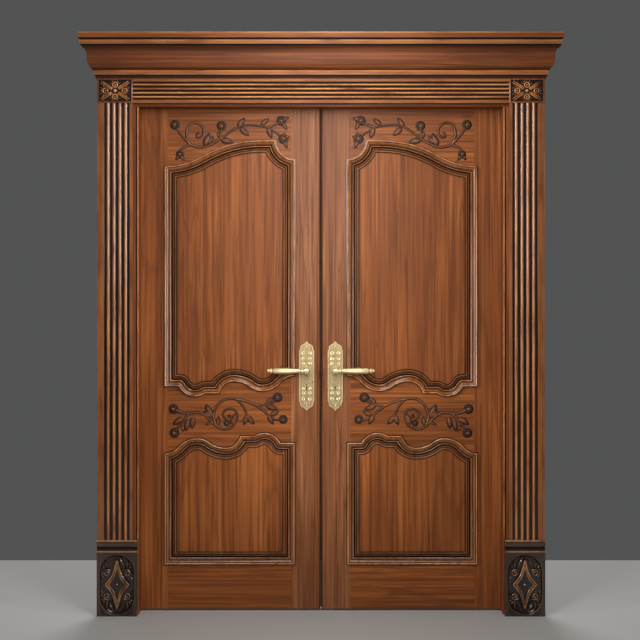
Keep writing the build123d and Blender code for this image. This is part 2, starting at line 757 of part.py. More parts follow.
def edge_plate(x, side, height, fit):
    """Plate let into the meeting edge of a leaf, or the recess for it."""
    half_width = LOCK_PLATE_WIDTH / 2 + fit
    half_height = height / 2 + fit
    x1 = x + side * (LOCK_PLATE_THICKNESS + fit)
    y0 = LEAF_MIDDLE - half_width
    return box(x, x1, y0, LEAF_MIDDLE + half_width, LOCK_MIDDLE - half_height, LOCK_MIDDLE + half_height)


def bolt_bar(x0, x1, z, height, fit):
    """Square-edged bolt along X, or the slot for it."""
    half = BOLT_THICKNESS / 2 + fit
    return box(x0, x1, LEAF_MIDDLE - half, LEAF_MIDDLE + half, z - height / 2 - fit, z + height / 2 + fit)


def lock_body(fit):
    """Lock case with its edge plate, in the right leaf."""
    x0 = -LEAF_X1
    half_thickness = LOCK_CASE_THICKNESS / 2 + fit
    half_height = LOCK_CASE_HEIGHT / 2 + fit
    case = box(
        x0, x0 + LOCK_CASE_DEPTH + fit, LEAF_MIDDLE - half_thickness, LEAF_MIDDLE + half_thickness,
        LOCK_MIDDLE - half_height, LOCK_MIDDLE + half_height,
    )
    return case + edge_plate(x0, 1, LOCK_PLATE_HEIGHT, fit)


def lock_case():
    """Lock case, open for its two bolts, the spindle and the key."""
    x0 = -LEAF_X1
    slot_end = x0 + BOLT_LENGTH + LATCH_DRAW
    case = lock_body(0)
    case -= bolt_bar(x0, slot_end, SPINDLE_HEIGHT, LATCH_HEIGHT, BOLT_FIT)
    case -= bolt_bar(x0, slot_end, SPINDLE_HEIGHT - KEYHOLE_BELOW, DEAD_BOLT_HEIGHT, BOLT_FIT)
    case -= flip_side(stud(SPINDLE_X, SPINDLE_HEIGHT, NECK_RADIUS, LEAF_Y0, BACK_Y))
    case -= flip_side(keyhole(LEAF_Y0, BACK_Y))
    return case


def latch_bolt():
    """Sprung latch whose nose stands in the gap between the leaves, bevelled on its front side."""
    x0 = -LEAF_X1 - LATCH_STAND
    x1 = -LEAF_X1 + BOLT_LENGTH - LATCH_STAND
    front = LEAF_MIDDLE - BOLT_THICKNESS / 2
    back = LEAF_MIDDLE + BOLT_THICKNESS / 2
    outline = polygon([(x0 + LATCH_BEVEL, front), (x1, front), (x1, back), (x0, back)])
    return Pos(0, 0, SPINDLE_HEIGHT - LATCH_HEIGHT / 2) * extrude(outline, amount=LATCH_HEIGHT)


def dead_bolt():
    """Bolt thrown by the key, drawn back here."""
    x0 = -LEAF_X1
    return bolt_bar(x0, x0 + BOLT_LENGTH, SPINDLE_HEIGHT - KEYHOLE_BELOW, DEAD_BOLT_HEIGHT, 0)


def strike_pockets(depth):
    """Pockets for both bolts in the edge of the left leaf."""
    x1 = LEAF_X1 - depth
    latch = bolt_bar(x1, LEAF_X1, SPINDLE_HEIGHT, LATCH_HEIGHT, STRIKE_POCKET_ROOM)
    return latch + bolt_bar(x1, LEAF_X1, SPINDLE_HEIGHT - KEYHOLE_BELOW, DEAD_BOLT_HEIGHT, STRIKE_POCKET_ROOM)


def flush_bar(z0, z1, fit):
    """Square bar of a flush bolt in the left leaf, or the way for it."""
    x = LEAF_X1 - FLUSH_BOLT_INSET
    half = FLUSH_BOLT_WIDTH / 2 + fit
    return box(x - half, x + half, LEAF_MIDDLE - half, LEAF_MIDDLE + half, z0, z1)


def thumb_stud(x1, low, high, room):
    """Stud that pushes a flush bolt, or the slot it slides in."""
    x = LEAF_X1 - FLUSH_BOLT_INSET
    half = THUMB_STUD_WIDTH / 2 + room
    return box(x, x1, LEAF_MIDDLE - half, LEAF_MIDDLE + half, low - half, high + half)


def flush_bolt(z0, z1, stud_z):
    """Bolt in the left leaf's edge, with a thumb stud."""
    return flush_bar(z0, z1, 0) + thumb_stud(LEAF_X1 - FLUSH_BOLT_SET_BACK, stud_z, stud_z, 0)


def flush_bolt_way(z0, z1, stud_low, stud_high):
    """Way for a flush bolt and the slot for its stud."""
    return flush_bar(z0, z1, FLUSH_BOLT_FIT) + thumb_stud(LEAF_X1, stud_low, stud_high, THUMB_SLOT_ROOM)


# Frame pieces


def side_jamb():
    """Side jamb with its stop, a quirk on its front edge, hinge recesses and fixing holes."""
    outline = polygon([
        (JAMB_X, WALL_Y), (STOP_X, WALL_Y), (STOP_X, STOP_Y), (REBATE_X, STOP_Y), (REBATE_X, BACK_Y),
        (JAMB_X, BACK_Y),
    ])
    jamb = extrude(outline, amount=DOORWAY_HEIGHT)
    quirk_x = STOP_X - JAMB_QUIRK_INSET
    jamb -= box(quirk_x - JAMB_QUIRK_WIDTH, quirk_x, WALL_Y, WALL_Y + JAMB_QUIRK_WIDTH, 0, DOORWAY_HEIGHT)
    for height in hinge_heights():
        jamb -= plate_recess(REBATE_X, -1, height)
    for share in FIXING_HEIGHT_SHARES:
        hole = Plane.YZ * Circle(FIXING_HOLE_RADIUS)
        jamb -= Pos(JAMB_X, LEAF_MIDDLE, share * DOORWAY_HEIGHT) * extrude(hole, amount=JAMB_THICKNESS)
    return jamb


def head_jamb():
    """Head jamb across both side jambs, with its stop and the keep for the top flush bolt."""
    outline = polygon([
        (WALL_Y, DOORWAY_HEIGHT), (STOP_Y, DOORWAY_HEIGHT), (STOP_Y, REBATE_Z), (BACK_Y, REBATE_Z),
        (BACK_Y, JAMB_TOP), (WALL_Y, JAMB_TOP),
    ])
    jamb = Pos(JAMB_X, 0, 0) * extrude(Plane.YZ * outline, amount=-2 * JAMB_X)
    keep = flush_bar(REBATE_Z, REBATE_Z + FLUSH_BOLT_THROW, FLUSH_BOLT_KEEP_ROOM)
    ends = box(JAMB_X, REBATE_X, STOP_Y, BACK_Y, DOORWAY_HEIGHT, REBATE_Z)
    return jamb - keep + ends + flip_side(ends)


def reeded_profile(width, thickness, first, pitch, groove):
    """Section of a reeded board, as width and depth: reeds between grooves, and a hollowed back."""
    floor = GROOVE_DEPTH - thickness
    edges = []
    last = (0, -thickness)
    for number in range(GROOVE_COUNT):
        left = first + number * pitch - groove / 2
        if number == 0:
            edges.append(Line(last, (left, -thickness)))
            edges.append(Line((left, -thickness), (left, floor)))
        else:
            reed = ThreePointArc(last, (left - (pitch - groove) / 2, -thickness), (left, floor))
            edges.append(Polyline(*[reed @ (cut / REED_CUTS) for cut in range(REED_CUTS + 1)]))
        last = (left + groove, floor)
        edges.append(Line((left, floor), last))
    corner = (last[0], -thickness)
    relief = [(CASING_BEARING, -CASING_RELIEF), (CASING_BEARING, 0)]
    relief = [(width - x, y) for x, y in reversed(relief)] + relief
    edges.append(Polyline(last, corner, (width, -thickness), (width, 0), *relief, (0, 0), (0, -thickness)))
    return make_face(edges)


def pilaster():
    """Reeded upright between a plinth block and a corner block."""
    profile = reeded_profile(
        PILASTER_WIDTH, PILASTER_THICKNESS, PILASTER_FIRST_GROOVE, PILASTER_GROOVE_PITCH, PILASTER_GROOVE_WIDTH
    )
    board = mirror(extrude(profile, amount=HEAD_Z0 - PLINTH_HEIGHT), about=Plane.YZ)
    return Pos(PILASTER_X1, WALL_Y, PLINTH_HEIGHT) * board


def head_architrave():
    """Reeded board over the doorway, between the corner blocks."""
    profile = reeded_profile(
        HEAD_HEIGHT, PILASTER_THICKNESS, HEAD_FIRST_GROOVE, HEAD_GROOVE_PITCH, HEAD_GROOVE_WIDTH
    )
    board = Rot(0, -90, 0) * extrude(profile, amount=2 * PILASTER_X1)
    return Pos(PILASTER_X1, WALL_Y, HEAD_Z0) * board


def corner_block():
    """Corner block with a sunk field, crossed ribs and four pierced rings."""
    front = WALL_Y - CORNER_THICKNESS
    floor = front + CORNER_SINK
    middle_x = (PILASTER_X0 + PILASTER_X1) / 2
    middle_z = (HEAD_Z0 + HEAD_Z1) / 2
    x0 = PILASTER_X0 + CORNER_MARGIN
    x1 = PILASTER_X1 - CORNER_MARGIN
    z0 = HEAD_Z0 + CORNER_MARGIN
    z1 = HEAD_Z1 - CORNER_MARGIN
    field = rectangle(x0, x1, z0, z1)
    block = slab(rectangle(PILASTER_X0, PILASTER_X1, HEAD_Z0, HEAD_Z1), front, WALL_Y)
    block -= slab(field, front, floor)
    carving = trace(Line((x0, z0), (x1, z1)), CORNER_RIB_WIDTH)
    carving += trace(Line((x0, z1), (x1, z0)), CORNER_RIB_WIDTH)
    across = CORNER_RING_REACH_SHARE * (x1 - x0)
    above = CORNER_RING_REACH_SHARE * (z1 - z0)
    for x, z in ((across, 0), (-across, 0), (0, above), (0, -above)):
        ring = RegularPolygon(CORNER_RING_RADIUS, BEAD_SIDES) - RegularPolygon(CORNER_RING_HOLE, BEAD_SIDES)
        carving += Pos(middle_x + x, middle_z + z) * ring
    carving = carving & field
    block += slab(carving, front + CORNER_SINK / 3, floor)
    return block + stud(middle_x, middle_z, CORNER_BEAD_RADIUS, front, floor)


def star_outline(width, height):
    """Four-pointed star."""
    tips = [(width / 2, 0), (0, height / 2), (-width / 2, 0), (0, -height / 2)]
    points = []
    for start, end in zip(tips, tips[1:] + tips[:1]):
        points.append(start)
        points.append(((start[0] + end[0]) * STAR_WAIST_SHARE, (start[1] + end[1]) * STAR_WAIST_SHARE))
    return polygon(points)


def plinth_block():
    """Plinth block with a moulded cap and an oval sunk field holding a star and four scrolls."""
    front = WALL_Y - PLINTH_THICKNESS
    cap_front = WALL_Y - PLINTH_CAP_THICKNESS
    cap = PLINTH_HEIGHT - PLINTH_CAP_HEIGHT
    band = cap - PLINTH_BAND_HEIGHT
    groove = band - PLINTH_GROOVE_HEIGHT
    shoulder = groove - PLINTH_BEAD_HEIGHT
    groove_y = front + PLINTH_GROOVE_DEPTH
    side = polygon([
        (WALL_Y, 0), (front, 0), (front, groove), (groove_y, groove), (groove_y, band), (front, band),
        (front, cap), (cap_front, cap), (cap_front, PLINTH_HEIGHT), (WALL_Y, PLINTH_HEIGHT),
    ])
    x1 = STOP_X - PLINTH_REVEAL
    block = Pos(PILASTER_X0, 0, 0) * extrude(Plane.YZ * side, amount=x1 - PILASTER_X0, dir=(1, 0, 0))
    middle_x = (PILASTER_X0 + x1) / 2
    middle_z = shoulder / 2
    place = Pos(middle_x, middle_z)
    floor = front + OVAL_SINK
    oval = place * Rot(0, 0, 90) * SlotOverall(OVAL_HEIGHT, OVAL_WIDTH)
    block -= slab(oval, front, floor)
    star = star_outline(STAR_WIDTH, STAR_HEIGHT)
    star -= star_outline(STAR_WIDTH * STAR_INNER_SHARE, STAR_HEIGHT * STAR_INNER_SHARE)
    block += slab(place * star, floor - STAR_RELIEF, floor)
    for x in (-SCROLL_ACROSS, SCROLL_ACROSS):
        for z in (-SCROLL_ABOVE, SCROLL_ABOVE):
            block += stud(middle_x + x, middle_z + z, SCROLL_RADIUS, floor - STAR_RELIEF, floor)
    return block + stud(middle_x, middle_z, PLINTH_BEAD_RADIUS, floor - STAR_RELIEF, floor)


def cornice_profile():
    """Section of the cornice as reach beyond the frame's faces and height above its head."""
    bed = CORNICE_BED_HEIGHT
    fillet = bed + CORNICE_FILLET_HEIGHT
    ogee = fillet + CORNICE_OGEE_HEIGHT
    second = ogee + CORNICE_SECOND_HEIGHT
    groove = second + CORNICE_GROOVE_HEIGHT
    top = groove + CORNICE_TOP_HEIGHT
    inside = -PILASTER_THICKNESS
    groove_reach = CORNICE_SECOND_REACH - CORNICE_GROOVE_DEPTH
    ogee_foot = Vector(CORNICE_OGEE_START, fillet)
    ogee_head = Vector(CORNICE_OGEE_REACH, ogee)
    ogee_middle = (ogee_foot + ogee_head) / 2
    bulge = TangentArc(ogee_foot, ogee_middle, tangent=(1, 1))
    hollow = TangentArc(ogee_middle, ogee_head, tangent=bulge % 1)
    foot = Polyline(
        (inside, 0), (CORNICE_BED_REACH, 0), (CORNICE_BED_REACH, bed), (CORNICE_FILLET_REACH, bed),
        (CORNICE_FILLET_REACH, fillet), ogee_foot,
    )
    head = Polyline(
        ogee_head, (CORNICE_SECOND_REACH, ogee), (CORNICE_SECOND_REACH, second), (groove_reach, second),
        (groove_reach, groove), (CORNICE_REACH, groove), (CORNICE_REACH, top), (inside, top), (inside, 0),
    )
    return make_face([foot, bulge, hollow, head])


def cornice():
    """Front length and left return of the cornice, mitred together."""
    profile = cornice_profile()
    reach = 2 * CORNICE_REACH
    half = -PILASTER_X0
    inner = PILASTER_X0 + PILASTER_THICKNESS
    tip = (-half - reach, WALL_Y - PILASTER_THICKNESS - reach)
    height = HEAD_Z1 + half
    face_y = WALL_Y - PILASTER_THICKNESS
    front_face = Plane(origin=(0, face_y, HEAD_Z1), x_dir=(0, -1, 0), z_dir=(-1, 0, 0))
    side_face = Plane(origin=(PILASTER_X0, face_y, HEAD_Z1), x_dir=(-1, 0, 0), z_dir=(0, 1, 0))
    front = extrude(front_face * profile, amount=half + reach, both=True)
    side = extrude(side_face * profile, amount=half, both=True)
    front_area = polygon([(inner, WALL_Y), tip, (-tip[0], tip[1]), (-inner, WALL_Y)])
    side_area = polygon([(inner, WALL_Y), tip, (tip[0], WALL_Y)])
    return front & extrude(front_area, amount=height), side & extrude(side_area, amount=height)


def back_casing_profile():
    """Section of a back casing, with its outer edge eased."""
    return polygon([
        (0, 0), (BACK_CASING_WIDTH, 0), (BACK_CASING_WIDTH, BACK_CASING_THICKNESS - BACK_CASING_EDGE),
        (BACK_CASING_WIDTH - BACK_CASING_EDGE, BACK_CASING_THICKNESS), (0, BACK_CASING_THICKNESS),
    ])


def back_casings():
    """Left casing and head casing on the plain side."""
    inner_x = REBATE_X - BACK_CASING_REVEAL
    inner_z = REBATE_Z + BACK_CASING_REVEAL
    upright = mirror(extrude(back_casing_profile(), amount=inner_z), about=Plane.YZ)
    length = 2 * (BACK_CASING_WIDTH - inner_x)
    across = Rot(0, -90, 0) * extrude(back_casing_profile(), amount=-length)
    return Pos(inner_x, BACK_Y, 0) * upright, Pos(inner_x - BACK_CASING_WIDTH, BACK_Y, inner_z) * across


# Assembly


def frame_pieces():
    """Every piece that stays fixed to the wall."""
    cornice_front, cornice_return = cornice()
    casing, head_casing = back_casings()
    jamb_halves, _ = hinge_halves()
    pieces = {"head_jamb": head_jamb(), "head_architrave": head_architrave(), "cornice_front": cornice_front}
    pieces["back_head_casing"] = head_casing
    sides = {
        "jamb": side_jamb(),
        "pilaster": pilaster(),
        "corner_block": corner_block(),
        "plinth_block": plinth_block(),
        "cornice_return": cornice_return,
        "back_casing": casing,
        "hinge_jamb_halves": jamb_halves,
    }
    for name, shape in sides.items():
        pieces["left_" + name] = shape
        pieces["right_" + name] = flip_side(shape)
    return pieces


def leaf_pieces():
    """Every piece of the left leaf that its mirror image has too, without the meeting stile."""
    top_rail, lock_rail, bottom_rail = rails()
    _, leaf_halves = hinge_halves()
    upper_level, lower_level = panel_levels()
    mouldings = [moulding(upper_outline, upper_opening), moulding(lower_outline, lower_opening)]
    upper_vine = vine(
        PANEL_X0 + UPPER_VINE_LEFT, PANEL_X1 - UPPER_VINE_RIGHT, UPPER_PEAK - UPPER_VINE_BELOW,
        UPPER_VINE_HEIGHT, UPPER_STEM_SHARES, UPPER_LEAF_SHARES, UPPER_BUD_SHARES,
    )
    lower_vine = vine(
        PANEL_X0 + LOWER_VINE_LEFT, PANEL_X1 - LOWER_VINE_RIGHT, LOWER_HEAD + LOWER_VINE_ABOVE,
        LOWER_VINE_HEIGHT, LOWER_STEM_SHARES, LOWER_LEAF_SHARES, LOWER_BUD_SHARES,
    )
    return {
        "hinge_stile": hinge_stile(),
        "top_rail": top_rail,
        "lock_rail": lock_rail,
        "bottom_rail": bottom_rail,
        "upper_panel": panel(upper_level, upper_outline),
        "lower_panel": panel(lower_level, lower_outline),
        "mouldings": Compound(mouldings),
        "back_beads": back_beads(),
        "vines": Compound([upper_vine, lower_vine]),
        "hinge_leaf_halves": leaf_halves,
        "front_plate": handle_plate(),
        "back_plate": flip_depth(handle_plate()),
        "front_lever": lever(),
        "back_lever": flip_depth(lever()),
        "spindle": spindle(0),
    }


def lock_pieces():
    """Both meeting stiles, with the lock, the strike and the bolts that fit in them."""
    stile = meeting_stile()
    top = LEAF_Z1 - FLUSH_BOLT_SET_BACK
    bottom = LEAF_Z0 + FLUSH_BOLT_SET_BACK
    top_stud = LEAF_Z1 - THUMB_STUD_BELOW
    bottom_stud = LEAF_Z0 + THUMB_STUD_BELOW
    left = stile - edge_plate(LEAF_X1, -1, STRIKE_HEIGHT, 0) - strike_pockets(STRIKE_POCKET_DEPTH)
    left -= flush_bolt_way(top - FLUSH_BOLT_LENGTH, LEAF_Z1, top_stud, top_stud + FLUSH_BOLT_THROW)
    left -= flush_bolt_way(LEAF_Z0, bottom + FLUSH_BOLT_LENGTH, bottom_stud - FLUSH_BOLT_THROW, bottom_stud)
    strike = edge_plate(LEAF_X1, -1, STRIKE_HEIGHT, 0) - strike_pockets(STRIKE_POCKET_DEPTH)
    right = flip_side(stile) - lock_body(LOCK_FIT) - flip_side(keyhole(LEAF_Y0, BACK_Y))
    return {
        "left_meeting_stile": left,
        "right_meeting_stile": right,
        "left_strike_plate": strike,
        "left_top_bolt": flush_bolt(top - FLUSH_BOLT_LENGTH, top, top_stud),
        "left_bottom_bolt": flush_bolt(bottom, bottom + FLUSH_BOLT_LENGTH, bottom_stud),
        "right_lock_case": lock_case(),
        "right_latch_bolt": latch_bolt(),
        "right_dead_bolt": dead_bolt(),
    }


def main():
    """Export every piece to its own file."""
    os.makedirs("parts", exist_ok=True)
    pieces = frame_pieces()
    for name, shape in leaf_pieces().items():
        pieces["left_" + name] = shape
        pieces["right_" + name] = flip_side(shape)
    pieces.update(lock_pieces())
    for name, shape in pieces.items():
        export_step(shape, f"parts/{name}.step")


main()
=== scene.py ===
"""Dresses the carved double door: mouldings, vines, reeded casings, blocks, cornice, fittings, finishes.

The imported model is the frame, in metres: X along the wall, Y from the carved side to the plain side, Z up.
Each piece is built on the left half and flipped for the right half. Profiles are written in millimetres.
"""

import math

import bmesh
import bpy
from mathutils import Matrix, Vector


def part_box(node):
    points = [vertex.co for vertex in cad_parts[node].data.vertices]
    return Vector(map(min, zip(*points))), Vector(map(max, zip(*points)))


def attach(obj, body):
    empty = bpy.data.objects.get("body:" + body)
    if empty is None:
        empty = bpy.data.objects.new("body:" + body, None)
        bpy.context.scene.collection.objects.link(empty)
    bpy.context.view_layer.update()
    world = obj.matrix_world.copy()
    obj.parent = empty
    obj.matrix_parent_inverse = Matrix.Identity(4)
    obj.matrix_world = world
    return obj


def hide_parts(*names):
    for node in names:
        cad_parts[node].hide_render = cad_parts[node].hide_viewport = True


bl_info = {
    "name": "Carved double door",
    "version": (1, 0, 0),
    "blender": (4, 5, 0),
    "location": "3D View > Sidebar > Door",
    "description": "Mouldings, carving, fittings and finishes of a carved wooden double door",
    "category": "Object",
}

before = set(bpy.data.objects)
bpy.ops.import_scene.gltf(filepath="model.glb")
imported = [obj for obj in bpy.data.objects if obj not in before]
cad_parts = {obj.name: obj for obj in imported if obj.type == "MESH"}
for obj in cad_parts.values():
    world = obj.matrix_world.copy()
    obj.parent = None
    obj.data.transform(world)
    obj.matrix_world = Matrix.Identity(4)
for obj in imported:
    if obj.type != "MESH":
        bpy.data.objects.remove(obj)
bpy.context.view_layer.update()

MM = 0.001
SIDES = (("left", 1), ("right", -1))
ALONG_X = 0
ALONG_Y = 1
ALONG_Z = 2

# Faces of the frame and of the left leaf
LEAF_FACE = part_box("left_top_rail")[0].y
LEAF_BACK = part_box("left_top_rail")[1].y
WALL_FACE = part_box("left_pilaster")[1].y
STOP_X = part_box("left_jamb")[1].x
PANEL_LOW, PANEL_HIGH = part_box("left_mouldings")

# Heights of the panels' edges above the floor
UPPER_SILL = 0.985
LOWER_HEAD = 0.661

# Places on the wavy edge, as shares of the panel's width and of the wave's depth
WAVE_DEPTH = 0.086
WAVE_LOW = (0.75, 0.74)
WAVE_CREST = (0.53, 0.27)
WAVE_STEP_RIGHT = (0.42, 0.85)
WAVE_STEP_LEFT = (0.31, 0.85)
WAVE_LOBE = (0.235, 1.0)
WAVE_LOBE_LEFT = (0.11, 0.51)
WAVE_LEFT = (0.0, 0.51)
WAVE_TURN = 0.42
SHOULDER_DROP = 0.109
SCOOP_RADIUS = 0.081
ARCH_PEAK = 0.74
ARCH_TURN = 0.395
FAN_STEPS = 6

# Gloss of the lacquer
PLAIN_GLOSS = 0.16
VINE_GLOSS = 0.3
MOULDING_GLOSS = 0.5
CASING_GLOSS = 0.8
PLINTH_GLOSS = 0.9

# Black strip on each leaf's meeting edge that closes the gap: painted shade in the gap between the leaves
GAP_SHADE_REACH = 1.85 * MM
GAP_SHADE_WIDTH = 5 * MM
GAP_SHADE_FROM_BACK = 1 * MM

# Sunk field of the corner blocks
CORNER_DEPTH = 9 * MM
CORNER_BORDER = 9 * MM

# Plinth block, in millimetres
CAP_FOOT = 262
OVAL_WIDTH = 143
OVAL_HEIGHT = 248
OVAL_STRAIGHT = (OVAL_HEIGHT - OVAL_WIDTH) / 2
OVAL_DEPTH = 12
OVAL_POINTS = 48
CARVING_REACH = 66

# Handles, in millimetres
LEVER_REACH = 51
KEYHOLE_DROP = 70

# Floor, and lamps as name, place, aim, size, share of the key power and width of the beam in degrees
FLOOR_HALF = 5
FLOOR_SHIFT = -3.8
LAMPS = (
    ("key_light", (0, -1.5, 2.15), (0, 0, 1.2), (0.4, 1.8), 0.55, 180),
    ("left_leaf_light", (1.3, -1.3, 1.9), (-0.5, 0, 1.45), (0.25, 2.2), 0.105, 45),
    ("right_leaf_light", (-1.3, -1.3, 1.9), (0.5, 0, 1.45), (0.25, 2.2), 0.105, 45),
    ("front_light", (0, -5.2, 2.6), (0, 0, 1.2), (1.6, 1.6), 0.7, 180),
    ("back_light", (0, 3.6, 4), (0, 0, 1.2), (2.2, 1.6), 3, 180),
)

# Sections as distance in, height over the leaf, glaze and painted shade in the hollows, and rubbed edges and
# painted highlights
# The first three rows of the moulding are a black lip on the leaf round its foot: a painted shadow of the
# moulding, with glaze in the corner
MOULDING_SECTION = (
    (-3, 0, 1, 0), (-3, 0.3, 0.9, 0), (0, 0.5, 1, 0), (0, 7.4, 0.8, 0), (0.2, 10.4, 0.3, 0.2),
    (1.2, 12.8, 0, 0.8), (3, 13.8, 0, 1), (5, 13, 0, 0.9), (6.4, 11.4, 0.3, 0.2), (7, 10, 1, 0),
    (8.4, 9.6, 0.9, 0), (10, 9.2, 0.15, 0.4), (13, 7.4, 0.2, 0.2), (17, 3.8, 0.4, 0.05), (20, 0.8, 0.8, 0),
    (21.4, -1, 1, 0), (22.6, -1.4, 1, 0), (24, -0.8, 0.2, 0.6), (25.6, -1.4, 0.1, 0.7), (27, -3.4, 0.8, 0),
    (28.6, -6.8, 1, 0), (30, -9.4, 1, 0), (31, -10, 1, 0),
    (16, -10, 1, 0), (16, 0, 1, 0),
)
# Black rows in the valley and at the quirk by the field are glaze and painted shade; light rows are rubbed
# wood and painted highlight
FIELD_SECTION = (
    (30.6, -10, 1, 0), (31.6, -9, 1, 0), (33, -7.6, 0.8, 0), (35, -6.2, 0.35, 0.35), (36.4, -6.2, 0.5, 0.1),
    (37, -6.8, 1, 0), (38.4, -6, 0.9, 0), (41, -4.2, 0.55, 0), (44, -2.6, 0.4, 0), (45.8, -1.7, 0.05, 0.8),
    (46.9, -2, 0.3, 0.4), (47.6, -4.6, 1, 0), (50.2, -4.8, 1, 0), (51, -1.9, 0.8, 0), (52.2, -1.3, 0.35, 0),
    (55, -1, 0.1, 0), (60, -1, 0, 0),
)

# Vines as shares of a box, left to right and bottom to top
UPPER_VINE_BOX = (-0.634, -0.126, 1.888, 2.073)
LOWER_VINE_BOX = (-0.634, -0.142, 0.733, 0.914)
UPPER_STEMS = (
    ((0.165, 0.375), (0.207, 0.33), (0.248, 0.307), (0.289, 0.318), (0.331, 0.364), (0.372, 0.42),
     (0.413, 0.489), (0.455, 0.568), (0.496, 0.659), (0.537, 0.734), (0.579, 0.784), (0.62, 0.814),
     (0.661, 0.818), (0.744, 0.795), (0.785, 0.773), (0.826, 0.727), (0.868, 0.659), (0.909, 0.568)),
    ((0.165, 0.375), (0.14, 0.523), (0.136, 0.659), (0.149, 0.773), (0.174, 0.852), (0.207, 0.875),
     (0.24, 0.852), (0.269, 0.784), (0.281, 0.705), (0.277, 0.614), (0.26, 0.545), (0.24, 0.523),
     (0.223, 0.545), (0.219, 0.591), (0.231, 0.636), (0.244, 0.636)),
    ((0.165, 0.375), (0.132, 0.477), (0.091, 0.591), (0.058, 0.727), (0.041, 0.818)),
    ((0.165, 0.36), (0.116, 0.318), (0.095, 0.273), (0.087, 0.216), (0.083, 0.148)),
    ((0.421, 0.523), (0.417, 0.636), (0.426, 0.795)),
    ((0.81, 0.761), (0.85, 0.8), (0.884, 0.83), (0.921, 0.909)),
)
UPPER_LEAVES = (
    ((0.285, 0.34), (0.322, 0.6)), ((0.314, 0.386), (0.355, 0.55)), ((0.421, 0.477), (0.512, 0.43)),
    ((0.562, 0.773), (0.612, 0.955)), ((0.579, 0.75), (0.645, 0.59)), ((0.752, 0.818), (0.81, 0.943)),
    ((0.81, 0.75), (0.839, 0.534)), ((0.405, 0.523), (0.4, 0.66)), ((0.083, 0.14), (0.05, 0.03)),
    ((0.083, 0.14), (0.116, 0.02)), ((0.921, 0.91), (0.979, 0.977)), ((0.93, 0.88), (0.962, 0.72)),
    ((0.938, 0.5), (0.985, 0.557)), ((0.945, 0.46), (0.967, 0.3)), ((0.93, 0.55), (0.95, 0.64)),
)
UPPER_FLOWERS = (
    (0.041, 0.818, 1), (0.083, 0.148, 0.85), (0.426, 0.795, 1), (0.921, 0.909, 1.05),
    (0.938, 0.5, 1.05),
)
LOWER_STEMS = (
    ((0.03, 0.628), (0.068, 0.581), (0.111, 0.523), (0.154, 0.523), (0.188, 0.535), (0.231, 0.558),
     (0.274, 0.523), (0.308, 0.465), (0.342, 0.372), (0.368, 0.302), (0.393, 0.233), (0.427, 0.174),
     (0.47, 0.14), (0.53, 0.198), (0.568, 0.349), (0.577, 0.512), (0.556, 0.605), (0.513, 0.64),
     (0.47, 0.605), (0.449, 0.523), (0.453, 0.442), (0.479, 0.395)),
    ((0.393, 0.256), (0.372, 0.372), (0.372, 0.512), (0.389, 0.651), (0.419, 0.767), (0.462, 0.844),
     (0.513, 0.877), (0.564, 0.86), (0.598, 0.779), (0.628, 0.674), (0.65, 0.558), (0.658, 0.465)),
    ((0.564, 0.86), (0.615, 0.837), (0.667, 0.791), (0.726, 0.721), (0.769, 0.651), (0.812, 0.558),
     (0.838, 0.488), (0.872, 0.407), (0.915, 0.36), (0.966, 0.384)),
    ((0.726, 0.733), (0.769, 0.709), (0.812, 0.721), (0.855, 0.744), (0.897, 0.814), (0.919, 0.895)),
    ((0.171, 0.523), (0.137, 0.442), (0.111, 0.349), (0.077, 0.233), (0.038, 0.07)),
    ((0.368, 0.302), (0.333, 0.314), (0.303, 0.256)),
)
LOWER_LEAVES = (
    ((0.658, 0.48), (0.632, 0.279)), ((0.658, 0.48), (0.684, 0.372)), ((0.66, 0.46), (0.714, 0.291)),
    ((0.821, 0.744), (0.872, 0.884)), ((0.821, 0.709), (0.906, 0.628)),
    ((0.838, 0.488), (0.876, 0.291)), ((0.855, 0.477), (0.923, 0.57)),
    ((0.111, 0.419), (0.034, 0.279)), ((0.103, 0.256), (0.115, 0.116)),
    ((0.197, 0.442), (0.188, 0.198)), ((0.154, 0.372), (0.137, 0.14)),
    ((0.359, 0.419), (0.312, 0.698)), ((0.35, 0.442), (0.291, 0.558)), ((0.53, 0.26), (0.56, 0.5)),
    ((0.405, 0.24), (0.415, 0.43)),
)
LOWER_FLOWERS = (
    (0.03, 0.628, 1), (0.038, 0.07, 1), (0.966, 0.384, 0.9), (0.919, 0.895, 1), (0.487, 0.302, 0.7),
    (0.506, 0.455, 0.4),
)


def colour(name, description, default):
    """A colour setting."""
    return bpy.props.FloatVectorProperty(
        name=name, description=description, subtype="COLOR", size=4, default=default, min=0, max=1)


